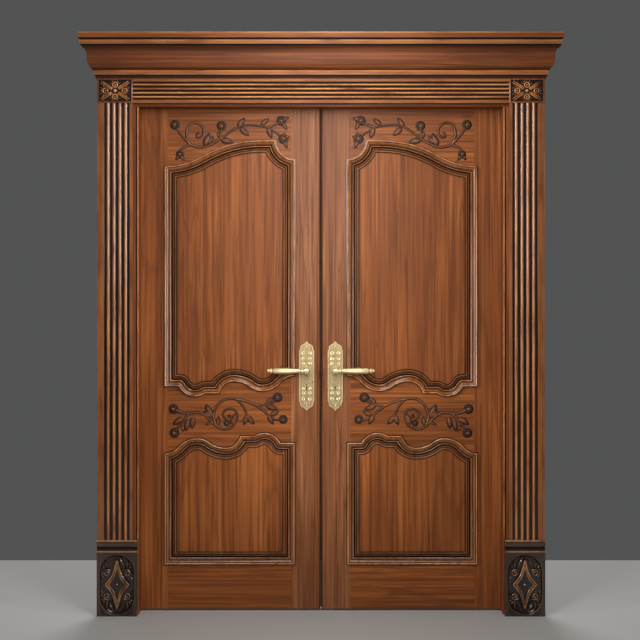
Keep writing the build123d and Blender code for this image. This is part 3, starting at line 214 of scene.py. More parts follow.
class DoorFinish(bpy.types.PropertyGroup):
    """Colours of the woods, the glaze and painted shade, the rubbed edges and painted highlights, the brass
    and the steel.
    """

    wood_dark: colour("Wood dark", "Dark streaks of the leaves and the frame", (0.1, 0.028, 0.008, 1))
    wood_middle: colour("Wood middle", "Main colour of the stained leaves", (0.28, 0.08, 0.017, 1))
    wood_light: colour("Wood light", "Light streaks of the stained leaves", (0.41, 0.14, 0.036, 1))
    red_middle: colour("Frame wood middle", "Main colour of the frame", (0.22, 0.057, 0.015, 1))
    red_light: colour("Frame wood light", "Light streaks of the frame", (0.37, 0.125, 0.037, 1))
    # The meeting stiles take a paler copy of the leaf wood: painted sheen along the middle of the door
    pale_sheen_middle: colour("Meeting stile middle", "Main colour of the meeting stiles", (0.27, 0.097, 0.036, 1))
    pale_sheen_light: colour("Meeting stile light", "Light streaks of the meeting stiles", (0.38, 0.168, 0.075, 1))
    block_dark: colour("Block dark", "Dark streaks of the plinth blocks", (0.02, 0.011, 0.007, 1))
    block_middle: colour("Block middle", "Main colour of the plinth blocks", (0.04, 0.018, 0.01, 1))
    block_light: colour("Block light", "Light streaks of the plinth blocks", (0.075, 0.031, 0.015, 1))
    # Colour of the glaze and of the painted shade in hollows, under carvings and in quirks
    glaze_and_shade: colour("Glaze", "Dark antique glaze in the hollows", (0.01, 0.005, 0.003, 1))
    # Colour of the rubbed edges and of the painted highlights on crests and carving tops
    rubbed_and_highlight: colour("Rubbed edges", "Wood rubbed through on raised edges", (0.62, 0.27, 0.095, 1))
    brass: colour("Brass", "Pale antique brass", (0.86, 0.7, 0.39, 1))
    brass_dark: colour("Brass patina", "Patina in the hollows of the brass", (0.24, 0.14, 0.04, 1))
    steel: colour("Steel", "Bolts, spindles and lock", (0.46, 0.45, 0.43, 1))


class DoorCarving(bpy.types.PropertyGroup):
    """Sizes of the vine carving."""

    stem_radius: bpy.props.FloatProperty(
        name="Stem radius", description="Radius of the vine's main stems", default=0.0038, unit="LENGTH")
    relief: bpy.props.FloatProperty(
        name="Relief", description="Height of the carving over the leaf", default=0.007, unit="LENGTH")
    flower_radius: bpy.props.FloatProperty(
        name="Flower radius", description="Radius of a vine flower", default=0.018, unit="LENGTH")
    petals: bpy.props.IntProperty(
        name="Petals", description="Petals round a vine flower", default=6, min=3, max=12)


class DoorStage(bpy.types.PropertyGroup):
    """Camera, floor, backdrop and lights."""

    lens: bpy.props.FloatProperty(
        name="Lens", description="Focal length of the camera in millimetres", default=75, min=10, max=300)
    eye: bpy.props.FloatVectorProperty(
        name="Eye", description="Place of the camera", subtype="TRANSLATION", default=(-0.004, -5.569, 1.22))
    floor: colour("Floor", "Colour of the floor", (0.5, 0.49, 0.47, 1))
    backdrop: colour("Backdrop", "Colour behind the door", (0.085, 0.086, 0.087, 1))
    key_power: bpy.props.FloatProperty(
        name="Key light", description="Power that each lamp takes a share of", default=38, subtype="POWER")
    fill: bpy.props.FloatProperty(
        name="Fill", description="Strength of the even light from all sides", default=0.27, min=0, max=2)


class Signal:
    """A shader socket that takes part in sums."""

    def __init__(self, shader, socket):
        self.shader = shader
        self.socket = socket

    def math(self, operation, *others):
        """A Math node on this value and others."""
        return self.shader.math(operation, self, *others)

    def __add__(self, other):
        return self.math("ADD", other)

    def __radd__(self, other):
        return self.shader.math("ADD", other, self)

    def __sub__(self, other):
        return self.math("SUBTRACT", other)

    def __rsub__(self, other):
        return self.shader.math("SUBTRACT", other, self)

    def __mul__(self, other):
        return self.math("MULTIPLY", other)

    def __rmul__(self, other):
        return self.shader.math("MULTIPLY", other, self)

    def step(self, low, high):
        """A smooth step from 0 at one value to 1 at another."""
        sockets = {"Value": self, "From Min": low, "From Max": high}
        return self.shader.add("ShaderNodeMapRange", {"interpolation_type": "SMOOTHSTEP"}, sockets, "Result")


class Shader:
    """A material, or the world, whose nodes are added one by one."""

    def __init__(self, owner, closing="Principled BSDF"):
        self.owner = owner
        owner.use_nodes = True
        self.tree = owner.node_tree
        self.surface = self.tree.nodes[closing]

    def fill(self, node, sockets):
        """Set or link some of a node's sockets."""
        for key, value in sockets.items():
            if isinstance(value, Signal):
                self.tree.links.new(value.socket, node.inputs[key])
            else:
                node.inputs[key].default_value = value

    def add(self, kind, settings, sockets, output):
        """A node with its settings and sockets, and the output that is used."""
        node = self.tree.nodes.new(kind)
        for key, value in settings.items():
            setattr(node, key, value)
        self.fill(node, sockets)
        return Signal(self, node.outputs[output])

    def math(self, operation, *values):
        """A Math node."""
        return self.add("ShaderNodeMath", {"operation": operation}, dict(enumerate(values)), "Value")

    def mix(self, factor, first, second):
        """One colour fading into another."""
        return self.add("ShaderNodeMix", {"data_type": "RGBA"}, {0: factor, 6: first, 7: second}, 2)

    def place(self, scale, shift):
        """Places on the piece, stretched and moved."""
        spot = self.add("ShaderNodeTexCoord", {}, {}, "Object")
        sockets = {"Vector": spot, "Location": shift, "Scale": scale}
        return self.add("ShaderNodeMapping", {}, sockets, "Vector")

    def noise(self, place, detail, distortion):
        """Noise with features about one unit across."""
        sockets = {"Vector": place, "Scale": 1.0, "Detail": detail, "Distortion": distortion}
        return self.add("ShaderNodeTexNoise", {}, sockets, "Fac")

    def attribute(self, name):
        """A value painted on the piece's vertices."""
        return self.add("ShaderNodeAttribute", {"attribute_name": name}, {}, "Fac")

    def bump(self, height, strength, distance):
        """A surface normal that follows a height."""
        sockets = {"Height": height, "Strength": strength, "Distance": distance}
        return self.add("ShaderNodeBump", {}, sockets, "Normal")


def stained_wood(name, along, seed, tones, finish, carved=False, gloss=PLAIN_GLOSS):
    """Stained and lacquered wood with its grain along one axis, darker in hollows from glaze and painted
    shade, and lighter on edges from rubbed wood and painted highlights.
    """
    dark, middle, light = tones
    shader = Shader(bpy.data.materials.new(name))
    shift = (seed * 3.17, seed * 1.73, seed * 2.39)

    def grain(across, length):
        scale = [across, across, across]
        scale[along] = length
        return shader.place(scale, shift)

    broad = shader.noise(grain(6, 0.5), 3, 0.6)
    streak = shader.noise(grain(90, 1.8), 4, 0.5)
    fibre = shader.noise(grain(420, 9), 2, 0)
    cloud = shader.noise(grain(8, 1.4), 2, 0)
    vein = shader.noise(grain(24, 0.7), 4, 0.4)
    ring = (broad * 9 + streak * 0.35).math("PINGPONG", 1).step(0.0, 0.22)
    line = (vein - 0.5).math("ABSOLUTE").step(0.0, 0.022)
    colour = shader.mix(streak.step(0.25, 0.6) * 0.6 + cloud.step(0.2, 0.8) * 0.4, dark, middle)
    colour = shader.mix(streak.step(0.42, 0.75) * cloud.step(0.3, 0.7) * 0.75, colour, light)
    colour = shader.mix((1 - ring) * 0.4, colour, dark)
    colour = shader.mix((1 - line) * 0.5, colour, dark)
    colour = shader.mix(fibre.step(0.5, 0.75) * 0.35, colour, dark)
    height = fibre * 0.4 + ring * 0.6
    shine = streak * 0.12 + max(0.43 - 0.53 * gloss, 0.1)
    if carved:
        # Painted highlight and rubbed wood on raised edges; painted shade and glaze in the hollows
        wear = shader.noise(grain(45, 7), 3, 0)
        glaze_and_shade = shader.attribute("glaze_and_shade")
        rubbed_and_highlight = shader.attribute("rubbed_and_highlight") * wear.step(0.2, 0.65)
        colour = shader.mix(rubbed_and_highlight * 0.85, colour, finish.rubbed_and_highlight)
        colour = shader.mix(glaze_and_shade * 0.95, colour, finish.glaze_and_shade)
        shine = shine + glaze_and_shade * max(0.45 - gloss, 0)
    shader.fill(shader.surface, {
        "Base Color": colour,
        "Roughness": shine,
        "Specular IOR Level": gloss,
        "Normal": shader.bump(height, 0.12, 0.0006),
    })
    return shader.owner


def antique_brass(name, finish):
    """Cast brass, bright where it is handled and dark in its hollows."""
    shader = Shader(bpy.data.materials.new(name))
    patch = shader.noise(shader.place((35, 35, 35), (0.3, 0.7, 0.1)), 4, 0.2)
    grit = shader.noise(shader.place((700, 700, 700), (0, 0, 0)), 2, 0)
    hollow = shader.attribute("glaze_and_shade")
    colour = shader.mix(patch.step(0.4, 0.8) * 0.25, finish.brass, finish.brass_dark)
    colour = shader.mix(hollow * 0.9, colour, finish.brass_dark)
    shader.fill(shader.surface, {
        "Base Color": colour,
        "Metallic": 0.6,
        "Roughness": patch * 0.2 + 0.2,
        "Normal": shader.bump(grit, 0.1, 0.0003),
    })
    return shader.owner


def bright_steel(name, finish):
    """Drawn steel with fine lines."""
    shader = Shader(bpy.data.materials.new(name))
    line = shader.noise(shader.place((900, 900, 20), (0, 0, 0)), 2, 0)
    shader.fill(shader.surface, {
        "Base Color": shader.mix(line.step(0.3, 0.7) * 0.3, finish.steel, (0.3, 0.29, 0.27, 1)),
        "Metallic": 1.0,
        "Roughness": line * 0.15 + 0.28,
        "Normal": shader.bump(line, 0.05, 0.0002),
    })
    return shader.owner


def keyhole_shade(name):
    """Dull black painted as the shade in a keyhole's depth."""
    shader = Shader(bpy.data.materials.new(name))
    dust = shader.noise(shader.place((300, 300, 300), (0, 0, 0)), 2, 0)
    shader.fill(shader.surface, {
        "Base Color": shader.mix(dust, (0.006, 0.005, 0.004, 1), (0.014, 0.011, 0.008, 1)),
        "Roughness": 0.7,
    })
    return shader.owner


def leaf_tones(finish):
    """Dark, middle and light colours of the leaves, apart from the meeting stiles."""
    return finish.wood_dark, finish.wood_middle, finish.wood_light


def frame_tones(finish):
    """Dark, middle and light colours of the jambs, casings, corner blocks and cornice."""
    return finish.wood_dark, finish.red_middle, finish.red_light


def block_tones(finish):
    """Dark, middle and light colours of the plinth blocks."""
    return finish.block_dark, finish.block_middle, finish.block_light


class Piece:
    """A mesh being carved, with glaze and painted shade, and rubbed wood and painted highlights, painted on
    its vertices.
    """

    def __init__(self):
        self.bm = bmesh.new()
        self.glaze_and_shade = self.bm.verts.layers.float.new("glaze_and_shade")
        self.rubbed_and_highlight = self.bm.verts.layers.float.new("rubbed_and_highlight")

    def paint(self, verts, glaze_and_shade, rubbed_and_highlight):
        """Paint some vertices evenly."""
        for vert in verts:
            vert[self.glaze_and_shade] = glaze_and_shade
            vert[self.rubbed_and_highlight] = rubbed_and_highlight

    def paint_height(self, verts, foot, low, high):
        """Paint vertices dark at the foot of a carving with glaze and painted shade, and light on its top
        with rubbed wood and painted highlight.
        """
        for vert in verts:
            share = min(max((foot - vert.co.y - low) / (high - low), 0), 1)
            vert[self.glaze_and_shade] = (1 - share) ** 1.5
            vert[self.rubbed_and_highlight] = max(share * 2 - 1, 0)

    def board(self, low, high):
        """A plain board between two corners; returns its vertices."""
        middle = Matrix.Translation((Vector(low) + Vector(high)) / 2)
        size = Matrix.Diagonal((*(Vector(high) - Vector(low)), 1))
        return bmesh.ops.create_cube(self.bm, size=1, matrix=middle @ size)["verts"]

    def length(self, points, paints, move):
        """A length of a closed section, extruded along a vector; returns the vertices of its far end."""
        verts = [self.bm.verts.new(point) for point in points]
        for vert, (glaze_and_shade, rubbed_and_highlight) in zip(verts, paints):
            vert[self.glaze_and_shade] = glaze_and_shade
            vert[self.rubbed_and_highlight] = rubbed_and_highlight
        face = self.bm.faces.new(verts)
        made = bmesh.ops.extrude_face_region(self.bm, geom=[face], use_keep_orig=True)
        ends = [item for item in made["geom"] if isinstance(item, bmesh.types.BMVert)]
        bmesh.ops.translate(self.bm, verts=ends, vec=move)
        return ends

    def sweep(self, loops, paints, close):
        """Closed loops joined one to the next, and the last joined to the first or both ends filled."""
        first = [self.bm.verts.new(point) for point in loops[0]]
        self.paint(first, *paints[0])
        start = [self.bm.edges.new((first[number - 1], first[number])) for number in range(len(first))]
        verts = first
        edges = start
        for loop, paint in zip(loops[1:], paints[1:]):
            made = bmesh.ops.extrude_edge_only(self.bm, edges=edges)["geom"]
            new = {item for item in made if isinstance(item, bmesh.types.BMVert)}
            verts = [next(e.other_vert(v) for e in v.link_edges if e.other_vert(v) in new) for v in verts]
            edges = [e for e in made if isinstance(e, bmesh.types.BMEdge) and set(e.verts) <= new]
            for vert, point in zip(verts, loop):
                vert.co = point
            self.paint(verts, *paint)
        if close:
            bmesh.ops.bridge_loops(self.bm, edges=start + edges)
        else:
            bmesh.ops.contextual_create(self.bm, geom=start)
            bmesh.ops.contextual_create(self.bm, geom=edges)
        bmesh.ops.remove_doubles(self.bm, verts=self.bm.verts, dist=1e-6)

    def stem(self, points, radius, end_share):
        """A round stem along a smooth line, thinner towards its end; returns its vertices."""
        curve = bpy.data.curves.new("stem", "CURVE")
        curve.dimensions = "3D"
        curve.bevel_depth = radius
        curve.bevel_resolution = 2
        curve.use_fill_caps = True
        spline = curve.splines.new("NURBS")
        spline.points.add(len(points) - 1)
        for number, point in enumerate(points):
            spline.points[number].co = (*point, 1)
            spline.points[number].radius = 1 + (end_share - 1) * number / (len(points) - 1)
        spline.order_u = 3
        spline.use_endpoint_u = True
        spline.resolution_u = 3
        holder = bpy.data.objects.new("stem", curve)
        mesh = bpy.data.meshes.new_from_object(holder)
        known = set(self.bm.verts)
        self.bm.from_mesh(mesh)
        bpy.data.objects.remove(holder)
        bpy.data.curves.remove(curve)
        bpy.data.meshes.remove(mesh)
        return self.fresh(known)

    def fresh(self, known):
        """The vertices made since some were noted, with doubles merged."""
        made = [vert for vert in self.bm.verts if vert not in known]
        bmesh.ops.remove_doubles(self.bm, verts=made, dist=1e-6)
        return [vert for vert in made if vert.is_valid]

    def leaf(self, foot, tip, width, height):
        """A pointed leaf with a groove along its middle, lying on the Y of its foot; returns its vertices."""
        foot = Vector(foot)
        along = Vector(tip) - foot
        across = along.cross(Vector((0, 1, 0))).normalized()
        verts = bmesh.ops.create_uvsphere(self.bm, u_segments=12, v_segments=8, radius=1)["verts"]
        for vert in verts:
            share = (vert.co.z + 1) / 2
            groove = 0.4 * math.exp(-((vert.co.x * 3.5) ** 2)) * math.sin(math.pi * share)
            side = vert.co.x * width / 2 * (1.25 - 0.6 * share)
            up = max(vert.co.y, 0) * (1 - groove)
            vert.co = foot + along * share + across * side - Vector((0, up * height, 0))
        return verts

    def bead(self, centre, radius, height):
        """A round bead on the Y of its centre; returns its vertices."""
        place = Matrix.Translation(Vector(centre)) @ Matrix.Diagonal((radius, height, radius, 1))
        turn = Matrix.Rotation(math.pi / 2, 4, "X")
        return bmesh.ops.create_uvsphere(
            self.bm, u_segments=14, v_segments=8, radius=1, matrix=place @ turn)["verts"]

    def ring(self, centre, radius, thickness):
        """A round ring facing along Y; returns its vertices."""
        centre = Vector(centre)
        known = set(self.bm.verts)
        place = Matrix.Translation(centre + Vector((radius, 0, 0)))
        verts = bmesh.ops.create_circle(self.bm, segments=8, radius=thickness, matrix=place)["verts"]
        edges = list({edge for vert in verts for edge in vert.link_edges})
        bmesh.ops.spin(self.bm, geom=verts + edges, cent=centre, axis=(0, 1, 0), angle=2 * math.pi, steps=20,
                       use_merge=True)
        return self.fresh(known)

    def turned(self, origin, axis, profile, steps):
        """A turned form round an axis from pairs of distance along it and radius; returns its vertices."""
        origin = Vector(origin)
        axis = Vector(axis)
        side = axis.orthogonal().normalized()
        known = set(self.bm.verts)
        verts = [self.bm.verts.new(origin + axis * along + side * radius) for along, radius in profile]
        edges = [self.bm.edges.new(pair) for pair in zip(verts, verts[1:])]
        bmesh.ops.spin(self.bm, geom=verts + edges, cent=origin, axis=axis, angle=2 * math.pi, steps=steps,
                       use_merge=True)
        return self.fresh(known)

    def flower(self, centre, radius, petals, height):
        """A small carved rose: petals round a bead; returns its vertices."""
        centre = Vector(centre)
        verts = []
        for number in range(petals):
            turn = 2 * math.pi * number / petals
            out = Vector((math.cos(turn), 0, math.sin(turn)))
            foot = centre + out * radius * 0.15
            verts += self.leaf(foot, centre + out * radius, radius * 0.85, height * 0.75)
        return verts + list(self.bead(centre, radius * 0.42, height))

    def finish(self, name, side, material, body, slot, nodes, smooth=35):
        """Flip the piece to its side, make it an object and hang it on its body."""
        if side < 0:
            bmesh.ops.scale(self.bm, vec=(-1, 1, 1), verts=self.bm.verts)
        bmesh.ops.recalc_face_normals(self.bm, faces=self.bm.faces)
        mesh = bpy.data.meshes.new(name)
        self.bm.to_mesh(mesh)
        self.bm.free()
        mesh.shade_smooth()
        mesh.set_sharp_from_angle(angle=math.radians(smooth))
        piece = bpy.data.objects.new(name, mesh)
        bpy.context.scene.collection.objects.link(piece)
        for item in material if isinstance(material, tuple) else (material,):
            mesh.materials.append(item)
        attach(piece, body)
        if nodes:
            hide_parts(*nodes)


class Stretch:
    """A straight or round stretch of an outline that runs clockwise, drawn as X and Z."""

    def __init__(self, start, end, centre=None):
        self.start = start
        self.end = end
        self.centre = centre
        self.radius = (start - centre).length if centre else 0
        chord = end - start
        self.inward = Vector((chord.y, -chord.x)).normalized()
        self.side = 0
        if centre:
            self.side = 1 if self.inward.dot(centre - start) > 0 else -1

    def normal(self, point):
        """Direction to the inside at a point."""
        if not self.centre:
            return self.inward
        return (self.centre - point).normalized() * self.side

    def depth(self, point):
        """Distance of a point inside the stretch."""
        if not self.centre:
            return self.inward.dot(point - self.start)
        return self.side * (self.radius - (point - self.centre).length)

    def steps(self):
        """Number of cuts along the stretch."""
        if not self.centre:
            return 1
        first = self.start - self.centre
        last = self.end - self.centre
        return max(4, math.ceil(first.angle(last) / math.radians(6)))

    def point(self, start, end, share):
        """Point at a share of the way from a moved start to a moved end."""
        if not self.centre:
            return start.lerp(end, share)
        first = start - self.centre
        last = end - self.centre
        turn = math.atan2(first.x * last.y - first.y * last.x, first.dot(last)) * share
        angle = math.atan2(first.y, first.x) + turn
        reach = first.length + (last.length - first.length) * share
        return self.centre + Vector((math.cos(angle), math.sin(angle))) * reach

    def turned(self, middle):
        """The stretch turned half round a point."""
        centre = middle * 2 - self.centre if self.centre else None
        return Stretch(middle * 2 - self.start, middle * 2 - self.end, centre)


def bend(start, end, tangent):
    """Round stretch that leaves its start along a tangent, and its tangent at the end."""
    chord = end - start
    left = Vector((-tangent.y, tangent.x))
    radius = chord.length_squared / (2 * left.dot(chord))
    along = chord.normalized()
    leaving = along * (2 * tangent.dot(along)) - tangent
    return Stretch(start, end, start + left * radius), leaving


def through(start, middle, end):
    """Round stretch through three points."""
    first = middle - start
    second = end - start
    twice = 2 * (first.x * second.y - first.y * second.x)
    one = first.length_squared
    two = second.length_squared
    centre = Vector(((second.y * one - first.y * two) / twice, (first.x * two - second.x * one) / twice))
    return Stretch(start, end, start + centre)


def wave_stretches():
    """The wavy edge under the upper panel, from the meeting side to the hinge side."""
    width = PANEL_HIGH.x - PANEL_LOW.x

    def spot(shares):
        return Vector((PANEL_LOW.x + shares[0] * width, UPPER_SILL - shares[1] * WAVE_DEPTH))

    left = Vector((-1, 0))
    start = Vector((PANEL_HIGH.x, UPPER_SILL))
    low = spot(WAVE_LOW)
    crest = spot(WAVE_CREST)
    fall, falling = bend(start, start + (low - start) * WAVE_TURN, left)
    rise, rising = bend(low, low + (crest - low) * WAVE_TURN, left)
    return [
        fall, bend(fall.end, low, falling)[0], rise, bend(rise.end, crest, rising)[0],
        bend(crest, spot(WAVE_STEP_RIGHT), left)[0], Stretch(spot(WAVE_STEP_RIGHT), spot(WAVE_STEP_LEFT)),
        through(spot(WAVE_STEP_LEFT), spot(WAVE_LOBE), spot(WAVE_LOBE_LEFT)),
        Stretch(spot(WAVE_LOBE_LEFT), spot(WAVE_LEFT)),
    ]


def upper_stretches():
    """Outer edge of the upper moulding: an ogee arch with a scooped corner over the wave."""
    width = PANEL_HIGH.x - PANEL_LOW.x
    top = PANEL_HIGH.z
    shoulder = Vector((PANEL_LOW.x, top - SHOULDER_DROP))
    peak = Vector((PANEL_LOW.x + ARCH_PEAK * width, top))
    rise, rising = bend(shoulder, shoulder + (peak - shoulder) * ARCH_TURN, Vector((1, 0)))
    corner = Vector((PANEL_HIGH.x, top))
    scoop_top = corner - Vector((SCOOP_RADIUS, 0))
    scoop_foot = corner - Vector((0, SCOOP_RADIUS))
    wave = wave_stretches()
    return [
        rise, bend(rise.end, peak, rising)[0], Stretch(peak, scoop_top),
        Stretch(scoop_top, scoop_foot, corner),
        Stretch(scoop_foot, wave[0].start), *wave, Stretch(wave[-1].end, shoulder),
    ]


def lower_stretches():
    """Outer edge of the lower moulding: the wave turned half round over a square bottom."""
    middle = Vector(((PANEL_LOW.x + PANEL_HIGH.x) / 2, (UPPER_SILL + LOWER_HEAD) / 2))
    wave = [stretch.turned(middle) for stretch in wave_stretches()]
    right = Vector((PANEL_HIGH.x, PANEL_LOW.z))
    left = Vector((PANEL_LOW.x, PANEL_LOW.z))
    return [*wave, Stretch(wave[-1].end, right), Stretch(right, left), Stretch(left, wave[0].start)]


def meet(before, after, distance):
    """Corner between two stretches that are both moved in by a distance."""
    first = before.normal(before.end)
    second = after.normal(after.start)
    point = before.end + (first + second) * (distance / (1 + first.dot(second)))
    if first.dot(second) > 0.9995:
        return point
    for _ in range(15):
        first = before.normal(point)
        second = after.normal(point)
        need = Vector((distance - before.depth(point), distance - after.depth(point)))
        scale = first.x * second.y - first.y * second.x
        move = Vector((second.y * need.x - first.y * need.y, first.x * need.y - second.x * need.x))
        point = point + move / scale
    return point


def joint(before, after, distance):
    """Points of the corner between two moved stretches: a fan round an outer corner, or one point."""
    corner = before.end
    first = before.normal(corner)
    second = after.normal(corner)
    turn = math.atan2(first.x * second.y - first.y * second.x, first.dot(second))
    if turn < math.radians(8):
        return [meet(before, after, distance)]
    if distance < 0:
        return [meet(before, after, distance)] * (FAN_STEPS + 1)
    angles = [math.atan2(first.y, first.x) + turn * step / FAN_STEPS for step in range(FAN_STEPS + 1)]
    return [corner + Vector((math.cos(angle), math.sin(angle))) * distance for angle in angles]


def even_loops(stretches, section):
    """Loops for each row of a section, with as many points each."""
    loops = []
    for distance, height, _, _ in section:
        joints = []
        for number, stretch in enumerate(stretches):
            joints.append(joint(stretches[number - 1], stretch, distance * MM))
        loop = []
        for number, stretch in enumerate(stretches):
            start = joints[number][-1]
            end = joints[(number + 1) % len(joints)][0]
            steps = stretch.steps()
            loop += joints[number][:-1]
            loop += [stretch.point(start, end, step / steps) for step in range(steps)]
        loops.append([Vector((point.x, LEAF_FACE - height * MM, point.y)) for point in loop])
    return loops


def reeded_section(width, thickness, first, pitch, groove):
    """Points across a reeded board and their paint, from one back edge round the face to the other; the paint
    is glaze and painted shade in the grooves and down the reeds' sides, and rubbed wood and painted highlight
    on their crests.
    """
    points = [(0, 0), (0, thickness)]
    paints = [(0, 0), (0, 0.2)]
    depth = 8 * MM
    for number in range(5):
        left = first + number * pitch - groove / 2
        if number:
            middle = left - (pitch - groove) / 2
            half = (pitch - groove) / 2
            for step in range(1, 10):
                angle = math.pi * (1 - step / 10)
                lift = math.sin(angle)
                points.append((middle + half * math.cos(angle), thickness - depth * (1 - lift)))
                # Painted shade and glaze low on the reed's sides, painted highlight and rubbed wood on its
                # crest
                paints.append((min(max(0.75 - lift, 0) * 2, 1), max(lift - 0.75, 0) * 4))
        else:
            points.append((left - 1 * MM, thickness))
            paints.append((0.1, 0.3))
        points += [(left, thickness - depth), (left + groove, thickness - depth)]
        paints += [(1, 0), (1, 0)]
    points += [(left + groove + 1 * MM, thickness), (width, thickness), (width, 0)]
    paints += [(0.1, 0.3), (0, 0.2), (0, 0)]
    return points, paints


class DOOR_OT_joinery(bpy.types.Operator):
    """Stain the stiles, rails, jambs and plain casings"""

    bl_idname = "door.joinery"
    bl_label = "Joinery"

    def execute(self, context):
        finish = context.scene.door_finish
        leaf = leaf_tones(finish)
        casing = frame_tones(finish)
        # Paler tones of the meeting stiles: painted sheen
        pale = (finish.wood_dark, finish.pale_sheen_middle, finish.pale_sheen_light)
        boards = [("head_jamb", ALONG_X, casing), ("back_head_casing", ALONG_X, casing)]
        for side, _ in SIDES:
            boards += [(side + name, ALONG_Z, casing) for name in ("_jamb", "_back_casing")]
            boards += [(side + name, ALONG_X, leaf) for name in ("_top_rail", "_lock_rail", "_bottom_rail")]
            boards += [(side + name, ALONG_Z, leaf) for name in ("_hinge_stile", "_back_beads")]
            boards.append((side + "_meeting_stile", ALONG_Z, pale))
        for seed, (node, along, tones) in enumerate(boards):
            wood = stained_wood(node + "_wood", along, seed + 1, tones, finish)
            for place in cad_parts[node].material_slots:
                place.material = wood
        return {"FINISHED"}


class DOOR_OT_ironwork(bpy.types.Operator):
    """Finish the hinges, the strike, the lock and the bolts"""

    bl_idname = "door.ironwork"
    bl_label = "Hinges and lock"

    def execute(self, context):
        finish = context.scene.door_finish
        brass = antique_brass("hinge_brass", finish)
        steel = bright_steel("lock_steel", finish)
        fittings = {"left_strike_plate": brass}
        for side, _ in SIDES:
            fittings[side + "_hinge_jamb_halves"] = brass
            fittings[side + "_hinge_leaf_halves"] = brass
            fittings[side + "_spindle"] = steel
        bolts = ("left_top_bolt", "left_bottom_bolt", "right_latch_bolt", "right_dead_bolt")
        for name in (*bolts, "right_lock_case"):
            fittings[name] = steel
        for node, metal in fittings.items():
            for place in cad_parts[node].material_slots:
                place.material = metal
        return {"FINISHED"}


class DOOR_OT_mouldings(bpy.types.Operator):
    """Run the shaped mouldings round the panels"""

    bl_idname = "door.mouldings"
    bl_label = "Panel mouldings"

    def execute(self, context):
        finish = context.scene.door_finish
        tones = leaf_tones(finish)
        paints = [row[2:] for row in MOULDING_SECTION]
        for seed, (side, flip) in enumerate(SIDES):
            piece = Piece()
            for stretches in (upper_stretches(), lower_stretches()):
                piece.sweep(even_loops(stretches, MOULDING_SECTION), paints, True)
            name = side + "_moulding_wood"
            wood = stained_wood(name, ALONG_Z, seed + 31, tones, finish, True, MOULDING_GLOSS)
            node = side + "_mouldings"
            piece.finish(side + "_panel_mouldings", flip, wood, side + "_leaf", "glazed_wood", [node])
        return {"FINISHED"}


class DOOR_OT_panels(bpy.types.Operator):
    """Raise the fields of the panels"""

    bl_idname = "door.panels"
    bl_label = "Raised panels"

    def execute(self, context):
        finish = context.scene.door_finish
        paints = [row[2:] for row in FIELD_SECTION]
        seed = 41
        for side, flip in SIDES:
            for level, stretches in (("upper", upper_stretches()), ("lower", lower_stretches())):
                node = side + "_" + level + "_panel"
                low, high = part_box("left_" + level + "_panel")
                piece = Piece()
                piece.board((low.x, LEAF_FACE - FIELD_SECTION[0][1] * MM, low.z), high)
                piece.sweep(even_loops(stretches, FIELD_SECTION), paints, False)
                seed += 1
                wood = stained_wood(node + "_wood", ALONG_Z, seed, leaf_tones(finish), finish, True)
                name = side + "_" + level + "_raised_panel"
                piece.finish(name, flip, wood, side + "_leaf", "leaf_wood", [node])
        return {"FINISHED"}


class DOOR_OT_vines(bpy.types.Operator):
    """Carve the vines over and between the panels"""

    bl_idname = "door.vines"
    bl_label = "Vine carving"

    def carve(self, piece, box, stems, leaves, flowers, carving):
        """Carve one vine inside its box."""
        x0, x1, z0, z1 = box

        def spot(shares, lift):
            return Vector((x0 + shares[0] * (x1 - x0), LEAF_FACE - lift, z0 + shares[1] * (z1 - z0)))

        relief = carving.relief
        # Under each stem, leaf and flower lies a flat ribbon painted black: painted shadow round the carving,
        # with glaze
        shadow_ribbon_height = 0.8 * MM
        for stem in stems:
            line = [spot(shares, 0) for shares in stem]
            shade = carving.stem_radius * 1.8
            verts = piece.stem(line, shade, 0.7)
            for vert in verts:
                vert.co.y = LEAF_FACE - max(LEAF_FACE - vert.co.y, 0) / shade * shadow_ribbon_height
            piece.paint(verts, 1, 0)
            verts = piece.stem([spot(shares, 1.9 * MM) for shares in stem], carving.stem_radius, 0.6)
            piece.paint_height(verts, LEAF_FACE, 2.4 * MM, relief * 0.95)
        for foot, tip in leaves:
            start = spot(foot, 0)
            end = spot(tip, 0)
            width = (end - start).length * 0.42
            piece.paint(piece.leaf(start, end + (end - start) * 0.15, width * 1.45, shadow_ribbon_height), 1, 0)
            verts = piece.leaf(start, end, width, relief * 0.95)
            piece.paint_height(verts, LEAF_FACE, 1 * MM, relief * 1.2)
        for u, v, size in flowers:
            radius = carving.flower_radius * size
            centre = spot((u, v), 0)
            piece.paint(piece.bead(centre, radius * 1.2, shadow_ribbon_height), 1, 0)
            verts = piece.flower(centre, radius, carving.petals, relief * 1.6)
            # Flower tops are painted light as well: painted glints over rubbed wood
            piece.paint_height(verts, LEAF_FACE, 5 * MM, relief * 1.75)

    def execute(self, context):
        finish = context.scene.door_finish
        tones = leaf_tones(finish)
        carving = context.scene.door_carving
        for seed, (side, flip) in enumerate(SIDES):
            piece = Piece()
            self.carve(piece, UPPER_VINE_BOX, UPPER_STEMS, UPPER_LEAVES, UPPER_FLOWERS, carving)
            self.carve(piece, LOWER_VINE_BOX, LOWER_STEMS, LOWER_LEAVES, LOWER_FLOWERS, carving)
            wood = stained_wood(side + "_vine_wood", ALONG_X, seed + 51, tones, finish, True, VINE_GLOSS)
            nodes = [side + "_vines"]
            piece.finish(side + "_vine_carving", flip, wood, side + "_leaf", "glazed_wood", nodes, 50)
        return {"FINISHED"}


